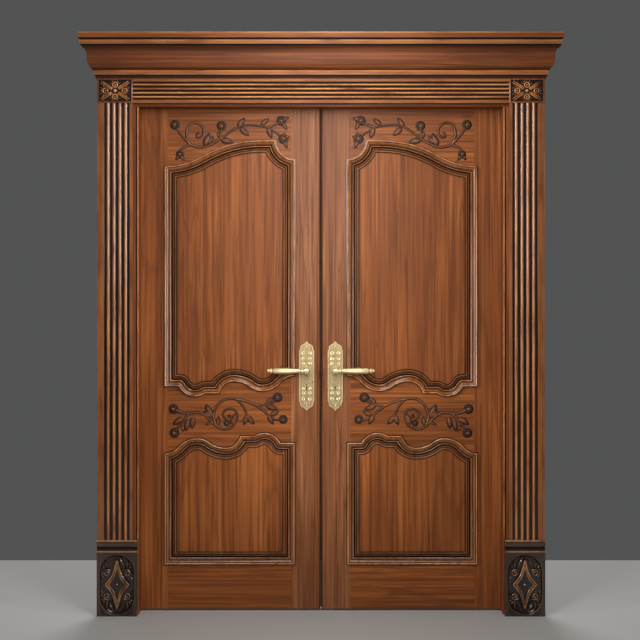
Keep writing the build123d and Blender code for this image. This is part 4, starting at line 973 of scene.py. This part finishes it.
class DOOR_OT_edge_beads(bpy.types.Operator):
    """Run the meeting stiles' dark edges and the black strips that close their gap, both painted shade, and
    the beads of the jambs
    """

    bl_idname = "door.edge_beads"
    bl_label = "Edge beads"

    def strip(self, rows, edge_x, face_y, foot, height):
        """A piece with a flat strip from rows of distance from an edge, height over a face and paint."""
        piece = Piece()
        points = [Vector((edge_x - across * MM, face_y - out * MM, foot)) for across, out, _, _ in rows]
        points.append(Vector((edge_x - rows[0][0] * MM, face_y + 2 * MM, foot)))
        piece.length(points, [row[2:] for row in rows] + [(1, 0)], (0, 0, height))
        return piece

    def execute(self, context):
        finish = context.scene.door_finish
        low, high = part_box("left_meeting_stile")
        # A flat strip by the meeting edge, light at its eased edge and dark towards the gap: painted
        # highlight and painted shade of the rebate
        stile = [(8, 0, 0, 0), (7.4, 0.5, 0.2, 0.5), (6, 0.6, 0.6, 0), (2, 0.6, 0.7, 0), (0, 0.2, 1, 0)]
        stile.append((0, -2, 1, 0))
        gap_shade_back = LEAF_BACK - GAP_SHADE_FROM_BACK
        gap_shade_low = Vector((high.x, gap_shade_back - GAP_SHADE_WIDTH, low.z))
        gap_shade_high = Vector((high.x + GAP_SHADE_REACH, gap_shade_back, high.z))
        jamb_low, jamb_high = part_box("left_jamb")
        # A bead on the jamb with a black band beside it and a light crest: glaze and painted shade in its
        # quirks, rubbed wood and painted highlight on its top
        jamb = [(11, 0, 1, 0), (10, 0.5, 1, 0), (8, 0.6, 0.9, 0), (7.4, 2.2, 0.1, 0.6), (5, 3.4, 0, 1)]
        jamb += [(2.6, 2.4, 0, 0.8), (1.4, 0.6, 1, 0), (1.4, -2, 1, 0)]
        for seed, (side, flip) in enumerate(SIDES):
            wood = stained_wood(side + "_meeting_shade_wood", ALONG_Z, seed + 55, leaf_tones(finish), finish, True)
            piece = self.strip(stile, high.x, LEAF_FACE, low.z, high.z - low.z)
            # A board behind the gap between the leaves, painted black: painted shade
            piece.paint(piece.board(gap_shade_low, gap_shade_high), 1, 0)
            piece.finish(side + "_meeting_shade_strip", flip, wood, side + "_leaf", "glazed_wood", [])
            wood = stained_wood(side + "_bead_wood", ALONG_Z, seed + 57, frame_tones(finish), finish, True)
            piece = self.strip(jamb, STOP_X, jamb_low.y, 0, jamb_high.z - 2 * MM)
            piece.finish(side + "_jamb_bead", flip, wood, "frame", "glazed_wood", [])
        return {"FINISHED"}


class DOOR_OT_casings(bpy.types.Operator):
    """Reed the pilasters and the head"""

    bl_idname = "door.casings"
    bl_label = "Reeded casings"

    def execute(self, context):
        finish = context.scene.door_finish
        tones = frame_tones(finish)
        low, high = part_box("left_pilaster")
        points, paints = reeded_section(high.x - low.x, high.y - low.y, 18 * MM, 24 * MM, 8 * MM)
        for seed, (side, flip) in enumerate(SIDES):
            piece = Piece()
            section = [Vector((high.x - across, WALL_FACE - out, low.z)) for across, out in points]
            piece.length(section, paints, (0, 0, high.z - low.z))
            name = side + "_pilaster_wood"
            wood = stained_wood(name, ALONG_Z, seed + 61, tones, finish, True, CASING_GLOSS)
            nodes = [side + "_pilaster"]
            piece.finish(side + "_reeded_pilaster", flip, wood, "frame", "frame_wood", nodes, 50)
        low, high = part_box("head_architrave")
        points, paints = reeded_section(high.z - low.z, high.y - low.y, 16.5 * MM, 17 * MM, 6 * MM)
        piece = Piece()
        section = [Vector((low.x, WALL_FACE - out, low.z + across)) for across, out in points]
        piece.length(section, paints, (high.x - low.x, 0, 0))
        wood = stained_wood("head_wood", ALONG_X, 64, tones, finish, True)
        piece.finish("reeded_head", 1, wood, "frame", "frame_wood", ["head_architrave"], 50)
        return {"FINISHED"}


class DOOR_OT_cornice(bpy.types.Operator):
    """Run the cornice and its mitred returns"""

    bl_idname = "door.cornice"
    bl_label = "Cornice"

    def section(self):
        """Reach beyond the frame's face, height above its head and paint of each point: glaze and painted
        shade, rubbed wood and painted highlight.
        """
        rows = [(-28, 0, 0.4, 0), (5, 0, 0.9, 0), (5, 11.5, 1, 0), (6, 13, 1, 0), (12, 13, 0.5, 0)]
        rows += [(13, 14, 0, 0.5), (13, 20, 0, 0.2), (13, 32, 0, 0.6), (12.4, 33, 0.6, 0), (15, 33.2, 1, 0)]
        rows.append((17, 33.6, 1, 0))
        for step in range(1, 16):
            share = step / 16
            swing = math.sin(2 * math.pi * share) * 7
            # Darker in the hollow under the top fillet and where the cyma turns under at its foot: painted
            # shade over an even glaze
            glaze_and_shade = 0.22 + 2 * max(0, share - 0.62) + 3 * max(0, 0.16 - share)
            reach = 17 + 40 * share + swing * 0.9
            rise = 33 + 97 * share - swing * 0.3
            rows.append((reach, rise, min(glaze_and_shade, 0.85), 0))
        rows += [(57, 129.5, 1, 0), (61.4, 130, 0.6, 0), (62, 131, 0, 0.3), (62, 140, 0, 0.3)]
        rows += [(62, 147, 0, 0.7), (61, 148, 0.5, 0), (55, 148, 1, 0), (55, 155, 1, 0), (67.4, 155, 0.6, 0)]
        rows += [(68, 156, 0.1, 0.1), (68, 164, 0, 0), (68, 172, 0, 0.1), (68, 177.5, 0, 0.9)]
        rows += [(66.5, 179, 0, 1), (-28, 179, 0.1, 0)]
        return rows

    def execute(self, context):
        finish = context.scene.door_finish
        tones = frame_tones(finish)
        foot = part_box("cornice_front")[0].z
        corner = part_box("left_pilaster")[0]
        rows = self.section()
        paints = [row[2:] for row in rows]
        mitre = []
        for reach, rise, _, _ in rows:
            mitre.append(Vector((corner.x - reach * MM, corner.y - reach * MM, foot + rise * MM)))
        wood = stained_wood("cornice_wood", ALONG_X, 71, tones, finish, True)
        piece = Piece()
        for vert in piece.length(mitre, paints, (0, 0, 0)):
            vert.co.x = -vert.co.x
        piece.finish("front_cornice", 1, wood, "frame", "frame_wood", ["cornice_front"], 40)
        for seed, (side, flip) in enumerate(SIDES):
            wood = stained_wood(side + "_return_wood", ALONG_Y, seed + 72, tones, finish, True)
            piece = Piece()
            for vert in piece.length(mitre, paints, (0, 0, 0)):
                vert.co.y = WALL_FACE
            bmesh.ops.remove_doubles(piece.bm, verts=piece.bm.verts, dist=1e-6)
            nodes = [side + "_cornice_return"]
            piece.finish(side + "_end_cornice", flip, wood, "frame", "frame_wood", nodes, 40)
        return {"FINISHED"}


class DOOR_OT_corner_blocks(bpy.types.Operator):
    """Carve the corner blocks over the pilasters"""

    bl_idname = "door.corner_blocks"
    bl_label = "Corner blocks"

    def carve(self, piece, low, high):
        """Carve crossed leaves, four rings and their fans in the sunk field."""
        floor = low.y + CORNER_DEPTH
        middle = Vector(((low.x + high.x) / 2, floor, (low.z + high.z) / 2))
        half = Vector((high.x - middle.x - 10 * MM, 0, high.z - middle.z - 10 * MM))
        made = []
        for x in (-1, 1):
            for z in (-1, 1):
                tip = middle + Vector((half.x * x * 0.97, 0, half.z * z * 0.97))
                side = Vector((-z * half.z, 0, x * half.x)).normalized() * 4 * MM
                for shift in (-1, 1):
                    start = middle.lerp(tip, 0.12) + side * shift * 0.8
                    made += piece.leaf(start, tip + side * shift, 8 * MM, 11 * MM)
        for x, z in ((1, 0), (-1, 0), (0, 1), (0, -1)):
            out = Vector((x, 0, z))
            across = Vector((-z, 0, x))
            reach = half.x * 0.62 if x else half.z * 0.6
            room = (half.x if x else half.z) - reach
            centre = middle + out * reach
            made += piece.ring(centre - Vector((0, 4 * MM, 0)), 10 * MM, 3 * MM)
            made += piece.bead(centre, 5 * MM, 8 * MM)
            for turn in (-70, -35, 0, 35, 70):
                angle = math.radians(turn)
                way = out * math.cos(angle) + across * math.sin(angle)
                end = 0.95 * room if not turn else 0.9 * room + abs(turn) * 0.11 * MM
                tip = centre + way * max(end, 24 * MM)
                made += piece.leaf(centre + way * 13.5 * MM, tip, 5.5 * MM, 8 * MM)
        made += piece.bead(middle, 8 * MM, 11 * MM)
        # Carving dark at its foot and light on top: glaze and painted shade, rubbed wood and painted
        # highlight
        piece.paint_height(made, floor, 1 * MM, 6.5 * MM)
        border = Vector((CORNER_BORDER, 0, CORNER_BORDER))
        least = low + border
        most = high - border
        for vert in made:
            vert.co.x = min(max(vert.co.x, least.x), most.x)
            vert.co.z = min(max(vert.co.z, least.z), most.z)
            vert.co.y = max(vert.co.y, low.y)

    def execute(self, context):
        finish = context.scene.door_finish
        tones = frame_tones(finish)
        low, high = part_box("left_corner_block")
        for seed, (side, flip) in enumerate(SIDES):
            piece = Piece()
            piece.board(low, high)
            front = next(face for face in piece.bm.faces if face.normal.y < -0.9)
            bmesh.ops.bevel(
                piece.bm, geom=list(front.edges), offset=1.5 * MM, offset_type="OFFSET", segments=2,
                profile=0.5, affect="EDGES", material=-1)
            faces = [face for face in piece.bm.faces if face.normal.y < -0.9]
            front = max(faces, key=lambda face: face.calc_area())
            bmesh.ops.inset_region(piece.bm, faces=[front], thickness=6.5 * MM, depth=0)
            bmesh.ops.inset_region(piece.bm, faces=[front], thickness=1.5 * MM, depth=-CORNER_DEPTH)
            # The sunk field painted black: painted shade in the recess, with glaze
            piece.paint(front.verts, 1, 0)
            self.carve(piece, low, high)
            name = side + "_corner_wood"
            wood = stained_wood(name, ALONG_Z, seed + 81, tones, finish, True, CASING_GLOSS)
            nodes = [side + "_corner_block"]
            piece.finish(side + "_carved_corner", flip, wood, "frame", "dark_wood", nodes, 45)
        return {"FINISHED"}


class DOOR_OT_plinth_blocks(bpy.types.Operator):
    """Carve the plinth blocks under the pilasters"""

    bl_idname = "door.plinth_blocks"
    bl_label = "Plinth blocks"

    def block(self, piece, low, high, front):
        """The block below its moulded cap, with an oval sunk in its face; returns the oval's middle."""
        top = low.z + CAP_FOOT * MM
        middle = Vector(((low.x + high.x) / 2, front, top / 2 - 1 * MM))
        straight = OVAL_STRAIGHT * MM
        radius = OVAL_WIDTH / 2 * MM
        oval = []
        for step in range(OVAL_POINTS):
            angle = 2 * math.pi * step / OVAL_POINTS
            rise = math.copysign(straight, math.sin(angle)) if abs(math.sin(angle)) > 1e-9 else 0
            oval.append((radius * math.cos(angle), radius * math.sin(angle) + rise))
        bm = piece.bm
        border = [(low.x, low.z), (high.x, low.z), (high.x, top), (low.x, top)]
        outer = [bm.verts.new((x, front, z)) for x, z in border]
        edges = [bm.edges.new((outer[number - 1], outer[number])) for number in range(4)]
        rim = [bm.verts.new((middle.x + x, front, middle.z + z)) for x, z in oval]
        rim_edges = [bm.edges.new((rim[number - 1], rim[number])) for number in range(len(rim))]
        bmesh.ops.triangle_fill(bm, edges=edges + rim_edges, use_beauty=True)
        # Light on the oval's rim, then black down into the sunk oval: painted highlight and rubbed wood, then
        # painted shade and glaze
        steps = [(0.985, 0.4, (0, 0.7)), (0.965, 3, (0.6, 0)), (0.93, 10, (1, 0)), (0.9, OVAL_DEPTH, (1, 0))]
        for share, depth, paint in steps:
            made = bmesh.ops.extrude_edge_only(bm, edges=rim_edges)["geom"]
            rim = [item for item in made if isinstance(item, bmesh.types.BMVert)]
            new = set(rim)
            rim_edges = [e for e in made if isinstance(e, bmesh.types.BMEdge) and set(e.verts) <= new]
            for vert in rim:
                vert.co.x = middle.x + (vert.co.x - middle.x) * share ** 0.5
                vert.co.z = middle.z + (vert.co.z - middle.z) * share ** 0.3
                vert.co.y = front + depth * MM
            piece.paint(rim, *paint)
        bmesh.ops.contextual_create(bm, geom=rim_edges)
        made = bmesh.ops.extrude_edge_only(bm, edges=edges)["geom"]
        back = [item for item in made if isinstance(item, bmesh.types.BMVert)]
        for vert in back:
            vert.co.y = high.y
        new = set(back)
        bmesh.ops.contextual_create(
            bm, geom=[e for e in made if isinstance(e, bmesh.types.BMEdge) and set(e.verts) <= new])
        return middle

    def cap(self, piece, low, high, front):
        """The moulded cap: a bead, a groove, a band and a lip, run along the block's width."""
        back = high.y
        foot = low.z + CAP_FOOT * MM
        # Dark in the groove, light on the lips: glaze and painted shade, rubbed wood and painted highlights
        rows = [(0, 0, 1, 0), (0, 0.8, 0.3, 0.1), (1.6, 3, 0, 0.9), (1.4, 5.4, 0, 0.8), (-0.5, 9, 0.3, 0)]
        rows += [(-3, 14, 0.6, 0), (-7, 18, 1, 0), (-9, 20, 1, 0), (-9, 25, 1, 0), (-0.6, 26, 0.5, 0)]
        rows += [(0, 27, 0, 0.1), (0, 44, 0, 0.05), (1, 45, 0.7, 0), (3.6, 46, 0, 0.2), (4, 48, 0, 0.8)]
        rows += [(4, 51, 0, 0.9), (3, 53, 0, 0.6)]
        points = [Vector((low.x, front - out * MM, foot + rise * MM)) for out, rise, _, _ in rows]
        points += [Vector((low.x, back, high.z)), Vector((low.x, back, foot))]
        paints = [row[2:] for row in rows] + [(0, 0), (0, 0)]
        piece.length(points, paints, (high.x - low.x, 0, 0))

    def carve(self, piece, middle):
        """Carve a star of double ribs, scrolls and radiating leaves on the sunk oval."""
        floor = middle.y + OVAL_DEPTH * MM
        made = []

        def spot(x, z, lift):
            return Vector((middle.x + x * MM, floor - lift * MM, middle.z + z * MM))

        for share, width in ((1, 4.2), (0.76, 3.6)):
            tips = [(48 * share, 0), (0, 99 * share), (-48 * share, 0), (0, -99 * share)]
            for (x0, z0), (x1, z1) in zip(tips, tips[1:] + tips[:1]):
                waist = ((x0 + x1) * 0.38, (z0 + z1) * 0.38)
                line = [(x0, z0), ((x0 + waist[0]) / 2 * 0.96, (z0 + waist[1]) / 2 * 0.96), waist]
                line += [((x1 + waist[0]) / 2 * 0.96, (z1 + waist[1]) / 2 * 0.96), (x1, z1)]
                made += piece.stem([spot(x, z, 6) for x, z in line], width * MM, 1)
        for x in (-1, 1):
            for z in (-1, 1):
                centre = (x * 41, z * 48)
                line = []
                for step in range(19):
                    turn = step / 18
                    angle = math.pi * (0.2 + 2.6 * turn)
                    reach = 4 + 12 * turn
                    across = centre[0] + x * reach * math.cos(angle)
                    line.append(spot(across, centre[1] + z * reach * math.sin(angle), 5))
                made += piece.stem(line, 3.8 * MM, 0.9)
                made += piece.bead(spot(*centre, 0), 5 * MM, 8 * MM)
                for step in range(7):
                    angle = math.radians(-42 + 26 * step)
                    way = (x * math.cos(angle), z * math.sin(angle))
                    end = self.rim(centre, way)
                    if end > 22:
                        start = spot(centre[0] + way[0] * 17, centre[1] + way[1] * 17, 0)
                        tip = spot(centre[0] + way[0] * end, centre[1] + way[1] * end, 0)
                        made += piece.leaf(start, tip, 10 * MM, 10 * MM)
        for z in (-1, 1):
            for x in (-1, 0, 1):
                tip = spot(x * 16, z * (116 - abs(x) * 3), 0)
                made += piece.leaf(spot(x * 6, z * 101, 0), tip, 8 * MM, 7 * MM)
        made += piece.bead(spot(0, 0, 0), 9 * MM, 10 * MM)
        # Carving dark at its foot and light on top: glaze and painted shade, rubbed wood and painted
        # highlight
        piece.paint_height(made, floor, 2.5 * MM, 10.5 * MM)

    def rim(self, start, way):
        """Distance in millimetres from a point to the carving's oval edge in a direction."""
        reach = 0
        while reach < 80:
            x = start[0] + way[0] * reach
            z = start[1] + way[1] * reach
            past = max(abs(z) - OVAL_STRAIGHT, 0)
            if math.hypot(x, past) > CARVING_REACH:
                break
            reach += 1
        return reach

    def execute(self, context):
        finish = context.scene.door_finish
        tones = block_tones(finish)
        low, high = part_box("left_plinth_block")
        front = low.y + 4 * MM
        for seed, (side, flip) in enumerate(SIDES):
            piece = Piece()
            middle = self.block(piece, low, high, front)
            self.cap(piece, low, high, front)
            self.carve(piece, middle)
            name = side + "_plinth_wood"
            wood = stained_wood(name, ALONG_Z, seed + 91, tones, finish, True, PLINTH_GLOSS)
            nodes = [side + "_plinth_block"]
            piece.finish(side + "_carved_plinth", flip, wood, "frame", "dark_wood", nodes, 45)
        return {"FINISHED"}


class DOOR_OT_handles(bpy.types.Operator):
    """Cast the brass handle plates and levers"""

    bl_idname = "door.handles"
    bl_label = "Handles"

    def plate(self, piece, axis_x, middle_z, face):
        """A plate with pointed ends, a raised rim and a sunk middle."""
        side = [(31.5, 0), (31.5, 106), (27, 112), (27, 122), (23, 128), (15.5, 132), (9, 136), (3.5, 141)]
        side.append((0, 147))
        outline = [(x, -z) for x, z in reversed(side[1:])] + side
        outline += [(-x, z) for x, z in reversed(side[1:-1])] + [(-x, -z) for x, z in side[:-1]]
        points = []
        for point in outline:
            if point not in points:
                points.append(point)
        bm = piece.bm
        verts = [bm.verts.new((axis_x + x * MM, face, middle_z + z * MM)) for x, z in points]
        base = bm.faces.new(verts)
        made = bmesh.ops.extrude_face_region(bm, geom=[base], use_keep_orig=True)
        front = [item for item in made["geom"] if isinstance(item, bmesh.types.BMVert)]
        bmesh.ops.translate(bm, verts=front, vec=(0, -3.2 * MM, 0))
        top = [item for item in made["geom"] if isinstance(item, bmesh.types.BMFace)]
        bmesh.ops.recalc_face_normals(bm, faces=bm.faces)
        bmesh.ops.inset_region(bm, faces=top, thickness=0.8 * MM, depth=0.9 * MM)
        bmesh.ops.inset_region(bm, faces=top, thickness=2.2 * MM, depth=0)
        bmesh.ops.inset_region(bm, faces=top, thickness=0.6 * MM, depth=-1.6 * MM)
        for face_made in top:
            piece.paint(face_made.verts, 0.6, 0)

    def scrolls(self, piece, axis_x, middle_z, face):
        """Scrolls, leaves, bosses and a lattice cast on the plate."""
        made = []

        def spot(x, z, lift):
            return Vector((axis_x + x * MM, face - lift * MM, middle_z + z * MM))

        for z in (-1, 1):
            for x in (-1, 1):
                for centre, size in (((12, 96), 9), ((12, 72), 8), ((13, 52), 7)):
                    line = []
                    for step in range(13):
                        angle = math.pi * (-0.5 + 2.4 * step / 12)
                        reach = size * (1 - 0.7 * step / 12)
                        across = x * (centre[0] + reach * math.cos(angle))
                        line.append(spot(across, z * (centre[1] + reach * math.sin(angle)), 3))
                    made += piece.stem(line, 1.8 * MM, 0.8)
                made += piece.leaf(spot(x * 2, z * 60, 2), spot(x * 22, z * 84, 2), 5 * MM, 2.4 * MM)
                made += piece.leaf(spot(x * 2, z * 108, 2), spot(x * 17, z * 122, 2), 5 * MM, 2.4 * MM)
            made += piece.leaf(spot(0, z * 112, 2), spot(0, z * 138, 2), 6 * MM, 2.6 * MM)
            made += piece.bead(spot(0, z * 124, 2.4), 4.2 * MM, 2.4 * MM)
        for step in range(-3, 4):
            for lean in (-1, 1):
                z = step * 10
                made += piece.stem(
                    [spot(-20 * lean, z - 12, 2.8), spot(0, z, 3), spot(20 * lean, z + 12, 2.8)], 1.3 * MM, 1)
        for vert in made:
            share = min(max((face - vert.co.y - 2.6 * MM) / (1.6 * MM), 0), 1)
            vert[piece.glaze_and_shade] = 1 - share

    def lever(self, piece, axis_x, height, face):
        """A turned lever: a neck through the rose, a knob and a swelling grip with a beaded end."""
        neck = [(0, 0), (0, 8), (9, 8), (11, 10.5), (13, 8.4), (17, 7), (32, 7.6), (36, 12), (38, 15.4)]
        neck += [(42, 16.4), (46, 15.4), (47.4, 13.8), (49, 15.2), (54, 15.6), (59, 13.4), (62.4, 8.6)]
        neck += [(63.4, 5.4), (64, 0)]
        origin = Vector((axis_x, face, height))
        knob = piece.turned(origin, (0, -1, 0), [(along * MM, radius * MM) for along, radius in neck], 48)
        for vert in knob:
            out = (face - vert.co.y) / MM
            if 48 < out < 63:
                turn = math.atan2(vert.co.z - origin.z, vert.co.x - origin.x)
                hollow = max(0, math.cos(8 * turn)) ** 2
                vert.co.x = origin.x + (vert.co.x - origin.x) * (1 - 0.12 * hollow)
                vert.co.z = origin.z + (vert.co.z - origin.z) * (1 - 0.12 * hollow)
                vert[piece.glaze_and_shade] = 0.9 * hollow
            elif 47 < out < 48:
                vert[piece.glaze_and_shade] = 1
        grip = [(0, 0), (0, 8), (14, 8), (17, 10.4), (20, 10.4), (23, 8), (30, 8), (40, 9), (55, 10.4)]
        grip += [(70, 11.6), (85, 12.4), (100, 12.8), (112, 12.8), (124, 12), (134, 10.6), (141, 8.6)]
        grip += [(143, 8.4), (145, 10.6), (149, 11), (152, 9.4), (154, 7.2), (156, 7.2), (159, 8.8)]
        grip += [(162.5, 7.2), (164.6, 3.6), (165, 0)]
        axis = origin - Vector((0, LEVER_REACH * MM, 0))
        made = piece.turned(axis, (-1, 0, 0), [(along * MM, radius * MM) for along, radius in grip], 48)
        for vert in made:
            along = (axis_x - vert.co.x) / MM
            if 24 < along < 140:
                turn = math.atan2(vert.co.z - axis.z, vert.co.y - axis.y)
                hollow = max(0, math.cos(6 * turn)) ** 2 * math.sin(math.pi * (along - 24) / 116)
                vert.co.y = axis.y + (vert.co.y - axis.y) * (1 - 0.14 * hollow)
                vert.co.z = axis.z + (vert.co.z - axis.z) * (1 - 0.14 * hollow)
                vert[piece.glaze_and_shade] = 0.8 * hollow
        for vert in piece.bm.verts:
            along = (axis_x - vert.co.x) / MM
            if 141 < along < 144 or 153 < along < 157 or 15 < along < 16.5 or 22 < along < 24:
                vert[piece.glaze_and_shade] = 0.7

    def keyhole(self, piece, hole):
        """A round hole with a slot below it, made as a shallow disc and block painted black for the shade in
        its depth, and a rim round it.
        """
        dark = [(0, 0), (0, 4.2 * MM), (0.9 * MM, 4.2 * MM), (0.9 * MM, 0)]
        pit = list(piece.turned(hole, (0, -1, 0), dark, 16))
        slot_low = hole + Vector((-2 * MM, -0.9 * MM, -13 * MM))
        pit += piece.board(slot_low, hole + Vector((2 * MM, 0, 0)))
        for face in {face for vert in pit for face in vert.link_faces}:
            face.material_index = 1
        rim = [(0, 6.4), (1.8, 6.2), (2.2, 5.4), (1.6, 4.8), (0, 4.6)]
        piece.turned(hole, (0, -1, 0), [(along * MM, radius * MM) for along, radius in rim], 20)

    def execute(self, context):
        finish = context.scene.door_finish
        brass = antique_brass("handle_brass", finish)
        metals = (brass, keyhole_shade("keyhole_shade_black"))
        low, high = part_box("left_front_plate")
        axis_x = (low.x + high.x) / 2
        middle_z = (low.z + high.z) / 2
        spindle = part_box("left_spindle")
        height = (spindle[0].z + spindle[1].z) / 2
        rose = [(0, 9), (2, 17), (6, 17), (7.4, 15.6), (7.4, 13.4), (8.4, 12.6), (9.6, 11.4), (10, 9.6)]
        rose.append((9, 8.2))
        rose = [(along * MM, radius * MM) for along, radius in rose]
        for side, flip in SIDES:
            for place in (side + "_front", side + "_back"):
                plate = Piece()
                self.plate(plate, axis_x, middle_z, LEAF_FACE)
                self.scrolls(plate, axis_x, middle_z, LEAF_FACE)
                plate.turned((axis_x, LEAF_FACE, height), (0, -1, 0), rose, 28)
                self.keyhole(plate, Vector((axis_x, LEAF_FACE - 2.2 * MM, height - KEYHOLE_DROP * MM)))
                lever = Piece()
                self.lever(lever, axis_x, height, LEAF_FACE)
                if place.endswith("back"):
                    for vert in [*plate.bm.verts, *lever.bm.verts]:
                        vert.co.y = LEAF_FACE + LEAF_BACK - vert.co.y
                plate.finish(
                    place + "_cast_plate", flip, metals, side + "_leaf", "brass", [place + "_plate"], 40)
                lever.finish(
                    place + "_turned_lever", flip, brass, side + "_handle", "brass", [place + "_lever"], 40)
        return {"FINISHED"}


class DOOR_OT_stage(bpy.types.Operator):
    """Set the floor, the backdrop, the lights and the camera"""

    bl_idname = "door.stage"
    bl_label = "Stage"

    def lamp(self, name, place, aim, size, power, spread):
        """A soft oblong light aimed at a point, with its beam's width in degrees."""
        data = bpy.data.lights.new(name, "AREA")
        data.spread = math.radians(spread)
        data.energy = power
        data.shape = "RECTANGLE"
        data.size, data.size_y = size
        lamp = bpy.data.objects.new(name, data)
        lamp.location = place
        lamp.rotation_euler = (Vector(aim) - Vector(place)).to_track_quat("-Z", "Y").to_euler()
        lamp.visible_camera = False
        bpy.context.scene.collection.objects.link(lamp)

    def floor(self, scene, stage):
        """A plain pale floor that ends a little behind the door."""
        bm = bmesh.new()
        bmesh.ops.create_grid(bm, x_segments=1, y_segments=1, size=FLOOR_HALF)
        bmesh.ops.translate(bm, verts=bm.verts, vec=(0, FLOOR_SHIFT, 0))
        mesh = bpy.data.meshes.new("studio_floor")
        bm.to_mesh(mesh)
        bm.free()
        floor = bpy.data.objects.new("studio_floor", mesh)
        scene.collection.objects.link(floor)
        shader = Shader(bpy.data.materials.new("floor_paint"))
        cloud = shader.noise(shader.place((1.5, 1.5, 1.5), (0, 0, 0)), 3, 0)
        shade = tuple(value * 0.93 for value in stage.floor[:3]) + (1,)
        shader.fill(shader.surface, {"Base Color": shader.mix(cloud, stage.floor, shade), "Roughness": 0.55})
        mesh.materials.append(shader.owner)

    def air(self, scene, stage):
        """Even light from all sides, seen by the camera and in reflections as a grey backdrop."""
        scene.world = bpy.data.worlds.new("studio_air")
        shader = Shader(scene.world, "Background")
        rays = ("Is Camera Ray", "Is Glossy Ray", "Is Transmission Ray")
        camera, glossy, clear = [shader.add("ShaderNodeLightPath", {}, {}, ray) for ray in rays]
        seen = camera.math("MAXIMUM", glossy).math("MAXIMUM", clear)
        light = (stage.fill, stage.fill, stage.fill, 1)
        shader.fill(shader.surface, {"Color": shader.mix(seen, light, stage.backdrop)})

    def execute(self, context):
        scene = context.scene
        stage = scene.door_stage
        self.floor(scene, stage)
        self.air(scene, stage)
        for name, place, aim, size, share, spread in LAMPS:
            self.lamp(name, place, aim, size, stage.key_power * share, spread)
        data = bpy.data.cameras.new("photo_camera")
        data.lens = stage.lens
        data.sensor_width = 36
        camera = bpy.data.objects.new("photo_camera", data)
        camera.location = stage.eye
        camera.rotation_euler = (math.pi / 2, 0, 0)
        scene.collection.objects.link(camera)
        scene.camera = camera
        scene.view_settings.view_transform = "Standard"
        return {"FINISHED"}


class DOOR_PT_panel(bpy.types.Panel):
    """Steps that dress the door"""

    bl_idname = "DOOR_PT_panel"
    bl_label = "Carved double door"
    bl_space_type = "VIEW_3D"
    bl_region_type = "UI"
    bl_category = "Door"

    def draw(self, context):
        for step in STEPS:
            self.layout.operator(step.bl_idname)
        for group in (context.scene.door_finish, context.scene.door_carving, context.scene.door_stage):
            for name in group.__annotations__:
                self.layout.prop(group, name)


GROUPS = (DoorFinish, DoorCarving, DoorStage)
STEPS = (
    DOOR_OT_joinery, DOOR_OT_ironwork, DOOR_OT_mouldings, DOOR_OT_panels, DOOR_OT_vines, DOOR_OT_edge_beads,
    DOOR_OT_casings, DOOR_OT_cornice, DOOR_OT_corner_blocks, DOOR_OT_plinth_blocks, DOOR_OT_handles,
    DOOR_OT_stage,
)


def register():
    """Add the settings, the steps and the panel."""
    for item in GROUPS + STEPS + (DOOR_PT_panel,):
        bpy.utils.register_class(item)
    bpy.types.Scene.door_finish = bpy.props.PointerProperty(type=DoorFinish)
    bpy.types.Scene.door_carving = bpy.props.PointerProperty(type=DoorCarving)
    bpy.types.Scene.door_stage = bpy.props.PointerProperty(type=DoorStage)


def unregister():
    """Remove what register added."""
    del bpy.types.Scene.door_stage
    del bpy.types.Scene.door_carving
    del bpy.types.Scene.door_finish
    for item in reversed(GROUPS + STEPS + (DOOR_PT_panel,)):
        bpy.utils.unregister_class(item)


def main():
    """Dress the door step by step."""
    register()
    bpy.ops.door.joinery()
    bpy.ops.door.ironwork()
    bpy.ops.door.mouldings()
    bpy.ops.door.panels()
    bpy.ops.door.vines()
    bpy.ops.door.edge_beads()
    bpy.ops.door.casings()
    bpy.ops.door.cornice()
    bpy.ops.door.corner_blocks()
    bpy.ops.door.plinth_blocks()
    bpy.ops.door.handles()
    bpy.ops.door.stage()


if __name__ == "__main__":
    main()
